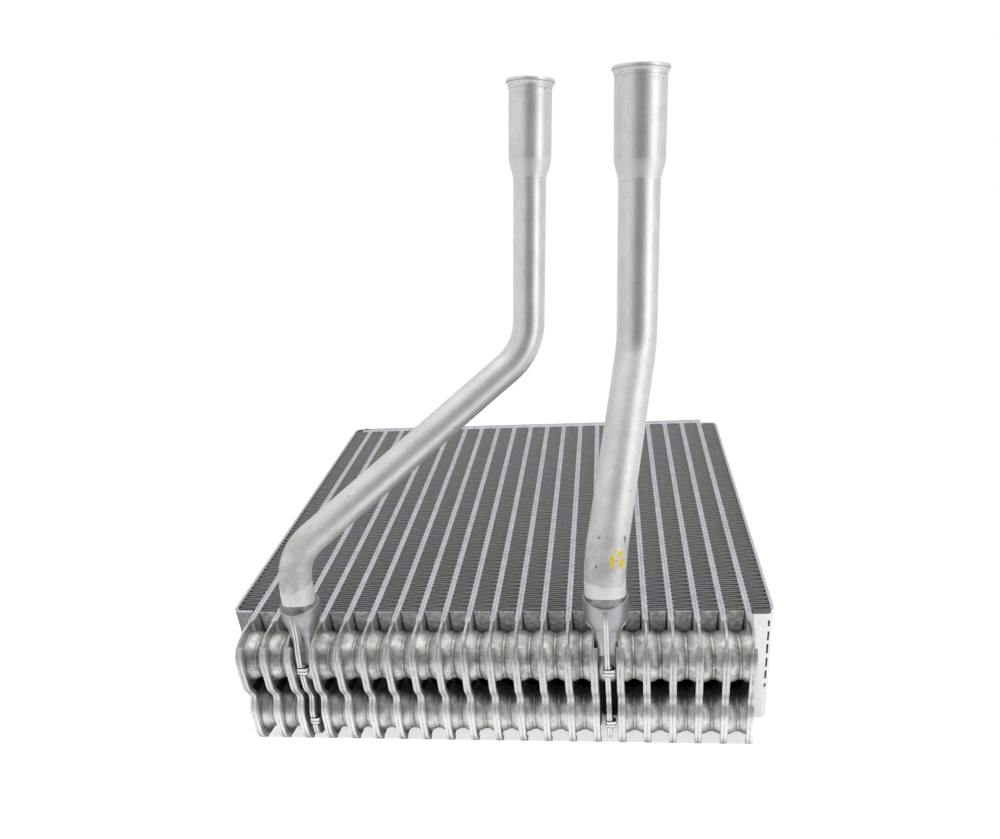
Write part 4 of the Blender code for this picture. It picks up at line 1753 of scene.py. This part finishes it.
@dataclass(frozen=True)
class Manifold:
    """A manifold of two stampings: a sleeve for the pipe, a bowl, a chamber and a seam flange.

    Attributes:
        funnel: Rings from the chamber to the sleeve, as (height, share of the way from the neck
            to the sleeve's size, squareness, where 2 is an ellipse).
        rim: Outside of the sleeve's upper edge, as (inset, depth below the rim).
        bore: Depths of the two rings inside it.
        seam_ahead: How far the seam stands ahead of the sleeve, from the top to the bottom.
        seam_section: Section of the seam, as (share of its half width, setback).
        web: Rear, drop and lift of the wall behind the seam.
        tabs: Height and half width of each crimped tab.
        pool_rings: Outer rings of the brazing metal, as (inset from the sleeve, depth, share).
        pool_core: Inner rings of it, as (distance from the pipe, share).
    """

    name: str
    gap: int
    pipe_radius: float
    sleeve_radius: float
    sleeve_height: float
    pool_height: float
    plates: PressedPlates
    finish: bpy.types.Material
    seam_finish: bpy.types.Material
    pool_finish: bpy.types.Material
    wall: float = 0.0008
    sides: int = 48
    neck_half: float = 0.0046
    neck_inset: float = 0.0016
    funnel: tuple[Triple, ...] = (
        (-0.0160, 0.0, 6.0), (-0.0100, 0.0, 6.0), (-0.0034, 0.0, 6.0), (-0.0018, 0.015, 5.7),
        (-0.0006, 0.05, 5.2), (0.0006, 0.12, 4.4), (0.0018, 0.24, 3.7), (0.0030, 0.41, 3.1),
        (0.0044, 0.61, 2.6), (0.0059, 0.81, 2.3), (0.0075, 0.95, 2.1), (0.0092, 1.0, 2.0))
    rim: tuple[Pair, ...] = ((0.0, 0.0008), (0.00012, 0.0002), (0.00040, 0.0))
    bore: Pair = (0.0003, 0.0040)
    notch_depth: float = 0.0005
    notch_power: float = 14
    shoulder_rise: float = 0.0030
    shoulder_power: float = 0.8
    chamber_radius: float = 0.0098
    chamber_taper: float = 0.0010
    seam_half: float = 0.00105
    seam_setback: float = 0.0004
    seam_start: float = 80.0
    seam_drops: Pair = (0.0016, 0.0030)
    seam_ahead: tuple[float, ...] = (0.0003, 0.0011, 0.0013, 0.0017)
    seam_level: float = 0.0020
    seam_foot: tuple[Pair, ...] = ((0.0006, -0.0040), (0.0, -0.0085))
    seam_join: float = -0.0095
    seam_section: tuple[Pair, ...] = ((1.0, 0.0030), (1.0, 0.00035), (0.85, 0.00008), (0.5, 0.0),
                                      (0.22, 0.0001), (0.12, 0.0007))
    web: Triple = (-0.0015, 0.0030, 0.0008)
    web_inset: float = 0.0012
    web_start: float = 60.0
    web_share: float = 0.9
    tabs: tuple[Pair, ...] = ((-0.0124, 0.0023), (-0.0391, 0.0020))
    tab_half_height: float = 0.0021
    tab_depth: float = 0.0026
    tab_setback: float = 0.00015
    tab_round: float = 0.0009
    tab_lean: float = 10.0
    tab_shift: float = 0.0005
    pool_rings: tuple[Triple, ...] = ((0.00025, 0.0002, 0.0),
                                                          (0.00055, 0.0001, 0.10))
    pool_core: tuple[Pair, ...] = ((0.00022, 0.42), (0.00006, 0.80), (0.0, 1.0))
    pool_under: Pair = (0.0015, 0.0020)
    pool_foot: float = 0.0006
    pool_power: float = 1.6
    pool_gap: float = 0.00002
    pool_overlap: float = 0.0002
    pool_inset: float = 0.0004

    @property
    def centre_y(self) -> float:
        """The sleeve's axis."""
        return self.plates.cup_centre

    def oval(self, half_x: float, half_y: float, z: float,
             lift: Callable[[float], float] | None = None, power: float = 2.0) -> list[Vector]:
        """A ring between an ellipse and a rounded rectangle.

        Args:
            half_x: Half width along the stack.
            half_y: Half width from front to rear.
            z: Height.
            lift: Height added at an angle from the front.
            power: 2 for an ellipse, and more for squarer corners.

        Returns:
            The ring's points.
        """
        points = []
        for side in range(self.sides):
            angle = math.tau * (side + 0.5) / self.sides
            level = z + (lift(angle) if lift else 0.0)
            across, ahead = (math.copysign(abs(share) ** (2 / power), share)
                             for share in (math.sin(angle), math.cos(angle)))
            points.append(Vector((half_x * across, self.centre_y - half_y * ahead, level)))
        return points

    def circle(self, radius: float, z: float,
               lift: Callable[[float], float] | None = None) -> list[Vector]:
        """A round ring."""
        return self.oval(radius, radius, z, lift)

    def notch(self, angle: float) -> float:
        """How far the rim dips towards the seam at its front."""
        return -self.notch_depth * towards_front(angle, self.notch_power)

    def shoulder(self, share: float) -> Callable[[float], float]:
        """How far a ring of the bowl rises towards the front, by its share of the bowl."""
        return lambda angle: (self.shoulder_rise * (1 - share)
                              * towards_front(angle, self.shoulder_power))

    def add_sleeve(self, bm: bmesh.types.BMesh) -> None:
        """Add the sleeve and the bowl below it.

        Args:
            bm: Mesh to add to.
        """
        radius, top, neck = self.sleeve_radius, self.sleeve_height, self.neck_half
        rings = [self.oval(neck + (radius - neck) * share, radius - self.neck_inset * (1 - share),
                           z, self.shoulder(share), power)
                 for z, share, power in self.funnel]
        rings += [self.circle(radius - inset, top - drop, self.notch) for inset, drop in self.rim]
        rings.append(self.circle(radius - self.wall, top - self.bore[0], self.notch))
        rings.append(self.circle(radius - self.wall, top - self.bore[1]))
        skin(bm, rings)

    def add_chamber(self, bm: bmesh.types.BMesh) -> None:
        """Add the round chamber between the two neighbouring plates.

        Args:
            bm: Mesh to add to.
        """
        cup = Cup(reach=self.neck_half, radius=self.chamber_radius,
                  mouth=self.chamber_radius - self.chamber_taper)
        for side in Side:
            turned(bm, cup.profile(), Vector((0.0, self.centre_y, self.plates.upper_row)),
                   Vector((side.value, 0.0, 0.0)), cup.steps)

    def seam_line(self, offset: float) -> list[Pair]:
        """Front edge of the seam flange, from the sleeve's rim to the bottom.

        Args:
            offset: Distance behind the edge.

        Returns:
            Points as (Y, Z).
        """
        front = -DATUM.tank_reach + self.seam_setback + offset
        sleeve_front = self.centre_y - self.sleeve_radius
        levels = [self.sleeve_height - drop for drop in self.seam_drops]
        levels += [self.sleeve_height / 2, self.seam_level]
        line = [(sleeve_front - ahead + offset, z) for ahead, z in zip(self.seam_ahead, levels)]
        line += [(front + behind, z) for behind, z in self.seam_foot]
        return line + [(y + self.seam_setback, z)
                       for y, z in self.plates.front_outline(offset, self.seam_start)
                       if z < self.seam_join]

    def add_seam(self, bm: bmesh.types.BMesh) -> None:
        """Add the seam flange, two rounded edges with a groove between them, and its web.

        Args:
            bm: Mesh to add to.
        """
        bar(bm, [[Vector((share * self.seam_half, y, z)) for y, z in self.seam_line(offset)]
                 for share, offset in mirrored(self.seam_section)], Metal.HEM)
        rear, drop, lift = self.web
        half = self.seam_half * self.web_share
        edge = self.plates.front_outline(self.web_inset + self.seam_setback, self.web_start)
        outline = [(rear, -drop), *edge, (rear, lift - DATUM.thickness)]
        prism(bm, [Vector((-half, y, z)) for y, z in outline], Vector((2 * half, 0.0, 0.0)))

    def add_tabs(self, bm: bmesh.types.BMesh) -> None:
        """Add the crimped tabs that hold the two stampings together.

        Args:
            bm: Mesh to add to.
        """
        turn = Matrix.Rotation(math.radians(self.tab_lean), 4, "Y")
        for z, half_width in self.tabs:
            low = Vector((self.tab_shift - half_width, self.tab_setback - DATUM.tank_reach,
                          z - self.tab_half_height))
            size = Vector((2 * half_width, self.tab_depth, 2 * self.tab_half_height))
            rounded_box(bm, low, low + size, self.tab_round, turn, Metal.HEM)

    def pool_lift(self, share: float) -> Callable[[float], float]:
        """How far a ring of the brazing metal rises towards the front.

        Args:
            share: The ring's share of the whole rise.

        Returns:
            The rise, by the angle from the front.
        """
        return lambda angle: ((self.pool_foot + self.pool_height
                               * towards_front(angle, self.pool_power)) * share
                              + self.notch(angle) * (1 - share))

    def add_pool(self, bm: bmesh.types.BMesh) -> None:
        """Add the concave fillet of brazing metal, higher at the front.

        Args:
            bm: Mesh to add to.
        """
        inner, outer, top = self.pipe_radius + self.pool_gap, self.sleeve_radius, self.sleeve_height
        rings = [self.circle(outer - inset, top - drop, self.pool_lift(share))
                 for inset, drop, share in self.pool_rings]
        rings += [self.circle(inner + away, top, self.pool_lift(share))
                  for away, share in self.pool_core]
        rings.append(self.circle(inner - self.pool_overlap, top - self.pool_under[0]))
        rings.append(self.circle(outer - self.pool_inset, top - self.pool_under[1]))
        skin(bm, rings, capped=False)

    def build(self) -> None:
        """Build the manifold and the brazing metal round its pipe."""
        x = DATUM.gap_x(self.gap)
        stampings = bmesh.new()
        self.add_sleeve(stampings)
        self.add_chamber(stampings)
        self.add_seam(stampings)
        self.add_tabs(stampings)
        add_piece(f"{self.name}_stampings", stampings, [self.finish, self.seam_finish],
                  [f"{self.name}_manifold_left", f"{self.name}_manifold_right"], x)
        pool = bmesh.new()
        self.add_pool(pool)
        add_piece(f"{self.name}_braze_pool", pool, [self.pool_finish],
                  [f"{self.name}_braze_ring"], x)


# Studio

@dataclass(frozen=True)
class Studio:
    """White sweep, soft light and the camera.

    Attributes:
        camera_place: Camera's place in the working frame.
        principal: Pixel of the image that the camera's axis passes through.
        room: Brightness of the white room, which the ceiling and the soft box add to.
        ceiling_height: Height of a direction at which the ceiling starts and is full.
        box_azimuth: Sides of the soft box, in degrees from the front towards the right.
        box_height: Height of the directions of its lower and upper edge.
    """

    camera_place: Vector = Vector((0.05120, -0.24256, 0.20012))
    yaw: float = 6.3
    pitch: float = 24.3
    roll: float = -4.3
    focal_pixels: float = 750.0
    principal: Pair = (538.3, 409.8)
    image_size: tuple[int, int] = (1000, 839)
    sensor: float = 36.0
    clip: Pair = (0.01, 50.0)
    paper_radius: float = 0.30
    paper_sides: int = 64
    paper_drop: float = 0.0002
    room: float = 0.66
    ceiling: float = 0.10
    ceiling_height: Pair = (0.55, 0.85)
    box_azimuth: Pair = (48.0, 74.0)
    box_azimuth_blur: float = 12
    box_height: Pair = (-0.62, 0.66)
    box_height_blur: float = 0.25
    box_strength: float = 0.9
    light_place: Vector = Vector((0.1, 0.10, 1.1))
    light_target: Vector = Vector((0.0, 0.0, 0.06))
    light_size: float = 1.3
    light_power: float = 2.5

    def build_camera(self) -> None:
        """Place the camera where the photograph was taken from."""
        yaw, pitch, roll = (math.radians(angle) for angle in (self.yaw, self.pitch, self.roll))
        right = Vector((math.cos(yaw), math.sin(yaw), 0.0))
        level = Vector((-math.sin(yaw), math.cos(yaw), 0.0))
        ahead = level * math.cos(pitch) - UP * math.sin(pitch)
        above = level * math.sin(pitch) + UP * math.cos(pitch)
        side = right * math.cos(roll) + above * math.sin(roll)
        top = above * math.cos(roll) - right * math.sin(roll)
        data = bpy.data.cameras.new("camera")
        camera = bpy.data.objects.new("camera", data)
        bpy.context.scene.collection.objects.link(camera)
        turn = Matrix((side, top, -ahead)).transposed().to_4x4()
        camera.matrix_world = Matrix.Translation(self.camera_place + DATUM.origin) @ turn
        width, height = self.image_size
        data.sensor_width = self.sensor
        data.lens = self.focal_pixels * self.sensor / width
        data.shift_x = (width / 2 - self.principal[0]) / width
        data.shift_y = (self.principal[1] - height / 2) / width
        data.clip_start, data.clip_end = self.clip
        bpy.context.scene.camera = camera

    def build_world(self) -> None:
        """Room that the camera sees white, with a ceiling and a tall soft box for the part."""
        world = bpy.data.worlds.new("white_room")
        world.use_nodes = True
        bpy.context.scene.world = world
        graph = Graph(world.node_tree)
        x, y, z = graph.axes(graph.node("ShaderNodeTexCoord", output="Generated"))
        azimuth = x.direction(y * -1) * (180 / math.pi)
        box = (azimuth.between(*self.box_azimuth, self.box_azimuth_blur)
               * z.between(*self.box_height, self.box_height_blur))
        above = z.step(*self.ceiling_height)
        strength = self.room + above * self.ceiling + box * self.box_strength
        lit, plain = (graph.node("ShaderNodeBackground",
                                 inputs={"Color": (*WHITE, 1.0), "Strength": level})
                      for level in (strength, 1.0))
        seen = graph.node("ShaderNodeLightPath", output="Is Camera Ray")
        mixed = graph.node("ShaderNodeMixShader", inputs={0: seen, 1: lit, 2: plain})
        graph.node("ShaderNodeOutputWorld", inputs={"Surface": mixed})

    def build_light(self) -> None:
        """Hang a soft box over the core."""
        data = bpy.data.lights.new("overhead_box", "AREA")
        data.shape = "SQUARE"
        data.size = self.light_size
        data.energy = self.light_power
        light = bpy.data.objects.new("overhead_box", data)
        bpy.context.scene.collection.objects.link(light)
        light.location = self.light_place
        way = self.light_target - self.light_place
        light.rotation_euler = way.to_track_quat("-Z", "Y").to_euler()

    def build_floor(self) -> None:
        """Lay the paper just under the part."""
        bm = bmesh.new()
        bmesh.ops.create_circle(bm, cap_ends=True, segments=self.paper_sides,
                                radius=self.paper_radius)
        bmesh.ops.translate(bm, vec=(0.0, 0.0, -self.paper_drop), verts=bm.verts)
        floor = finished_object("floor", bm, [WhitePaper().material()])

    def build(self) -> None:
        """Build floor, card, light, world and camera."""
        self.build_floor()
        CameraCard().build()
        self.build_light()
        self.build_world()
        self.build_camera()
        bpy.context.scene.view_settings.view_transform = "Standard"


# Refrigerant lines

@dataclass(frozen=True)
class Line:
    """Sizes of one refrigerant line: its place, its bends, its socket and its marks.

    Attributes:
        gap: Gap between plates that its manifold stands in.
        first_rise: Height of its first bend.
        offsets: Steps from bend to bend and on to the mouth.
        seat: Height of the pipe's foot.
        foot_above_sleeve: How far the pale foot of the pipe reaches above its sleeve.
    """

    name: str
    gap: int
    radius: float
    socket_radius: float
    lip_radius: float
    socket_length: float
    sleeve_radius: float
    sleeve_height: float
    pool_height: float
    first_rise: float
    offsets: tuple[Vector, ...]
    bend_radii: tuple[float, ...]
    dabs: tuple[Dab, ...] = ()
    scars: tuple[Dab, ...] = ()
    seat: float = 0.0043
    foot_above_sleeve: float = 0.0092

    def route(self, centre_y: float) -> Route:
        """The line's centre line.

        Args:
            centre_y: Where the sleeve's axis is.

        Returns:
            The route from the seat to the mouth.
        """
        x = DATUM.gap_x(self.gap)
        corners = [Vector((x, centre_y, self.seat)), Vector((x, centre_y, self.first_rise))]
        for offset in self.offsets:
            corners.append(corners[-1] + offset)
        return Route(tuple(corners), self.bend_radii)

    def build(self, plates: PressedPlates, stamped: bpy.types.Material,
              seam: bpy.types.Material, pool: bpy.types.Material) -> None:
        """Build the line's manifold and its pipe.

        Args:
            plates: The plates that the manifold stands between.
            stamped: Finish of the stampings.
            seam: Finish of their seam.
            pool: Finish of the brazing metal.
        """
        Manifold(name=self.name, gap=self.gap, pipe_radius=self.radius,
                 sleeve_radius=self.sleeve_radius, sleeve_height=self.sleeve_height,
                 pool_height=self.pool_height, plates=plates, finish=stamped,
                 seam_finish=seam, pool_finish=pool).build()
        route = self.route(plates.cup_centre)
        before, mouth = route.corners[-2:]
        metal = DrawnTube(name=f"{self.name}_tube_metal", mouth=mouth,
                          foot_height=self.sleeve_height + self.foot_above_sleeve,
                          axis=(mouth - before).normalized(), joint=self.socket_length,
                          dabs=self.dabs, scars=self.scars)
        BentPipe(name=f"{self.name}_tube", node=f"{self.name}_pipe", route=route,
                 radius=self.radius, socket_radius=self.socket_radius,
                 lip_radius=self.lip_radius, socket_length=self.socket_length,
                 finish=metal.material()).build()


PAINT_DABS = (Dab(Vector((0.04896, -0.0138, 0.0353)), 0.0010, 0.0014),
              Dab(Vector((0.04873, -0.0147, 0.0330)), 0.0008, 0.0012),
              Dab(Vector((0.05183, -0.0119, 0.0360)), 0.0012, 0.0009),
              Dab(Vector((0.05229, -0.0127, 0.0325)), 0.0009, 0.0018),
              Dab(Vector((0.05025, -0.0124, 0.0372)), 0.0007, 0.0007))

SCARS = (Dab(Vector((0.05398, -0.0078, 0.0398)), 0.0004, 0.0015),
         Dab(Vector((0.04441, -0.0096, 0.0416)), 0.0006, 0.0003),
         Dab(Vector((0.04299, -0.0145, 0.0324)), 0.0005, 0.0005))

OUTLET = Line(name="outlet", gap=15, radius=0.00794, socket_radius=0.009675, lip_radius=0.01065,
              socket_length=0.0385, sleeve_radius=0.0088, sleeve_height=0.0160,
              pool_height=0.0030, first_rise=0.0292,
              offsets=(Vector((0.0152, 0.0517, 0.0693)), Vector((0.0036, 0.0145, 0.1005))),
              bend_radii=(0.030, 0.030), dabs=PAINT_DABS, scars=SCARS)
INLET = Line(name="inlet", gap=3, radius=0.00635, socket_radius=0.0082, lip_radius=0.0093,
             socket_length=0.0350, sleeve_radius=0.0078, sleeve_height=0.0125,
             pool_height=0.0024, first_rise=0.0175,
             offsets=(Vector((-0.0014, 0.0073, 0.0135)), Vector((0.0952, 0.0478, 0.0656)),
                      Vector((0.0064, 0.0190, 0.1004))),
             bend_radii=(0.012, 0.018, 0.024))


def main() -> None:
    """Build every sub-assembly in order."""
    logging.basicConfig(level=logging.INFO, format="%(name)s %(message)s")
    plate_sheet = PlateSheet().material()
    foil = FinFoil().material()
    end_sheet = EndLegSheet().material()
    shaded_left_sheet = SHADED_LEFT_SHEET.material()
    lit_right_sheet = LIT_RIGHT_SHEET.material()
    stamped = STAMPED_SHEET.material()
    pool = BrazingMetal().material()
    hem_sheet = HemSheet().material()
    seam = SEAM_SHEET.material()
    plates = PressedPlates(plate_sheet, hem_sheet)
    plates.build()
    FinStrips(foil, end_sheet).build()
    SideSheets({Side.LEFT: shaded_left_sheet, Side.RIGHT: lit_right_sheet}).build()
    for line in (OUTLET, INLET):
        line.build(plates, stamped, seam, pool)
    Studio().build()


if __name__ == "__main__":
    main()
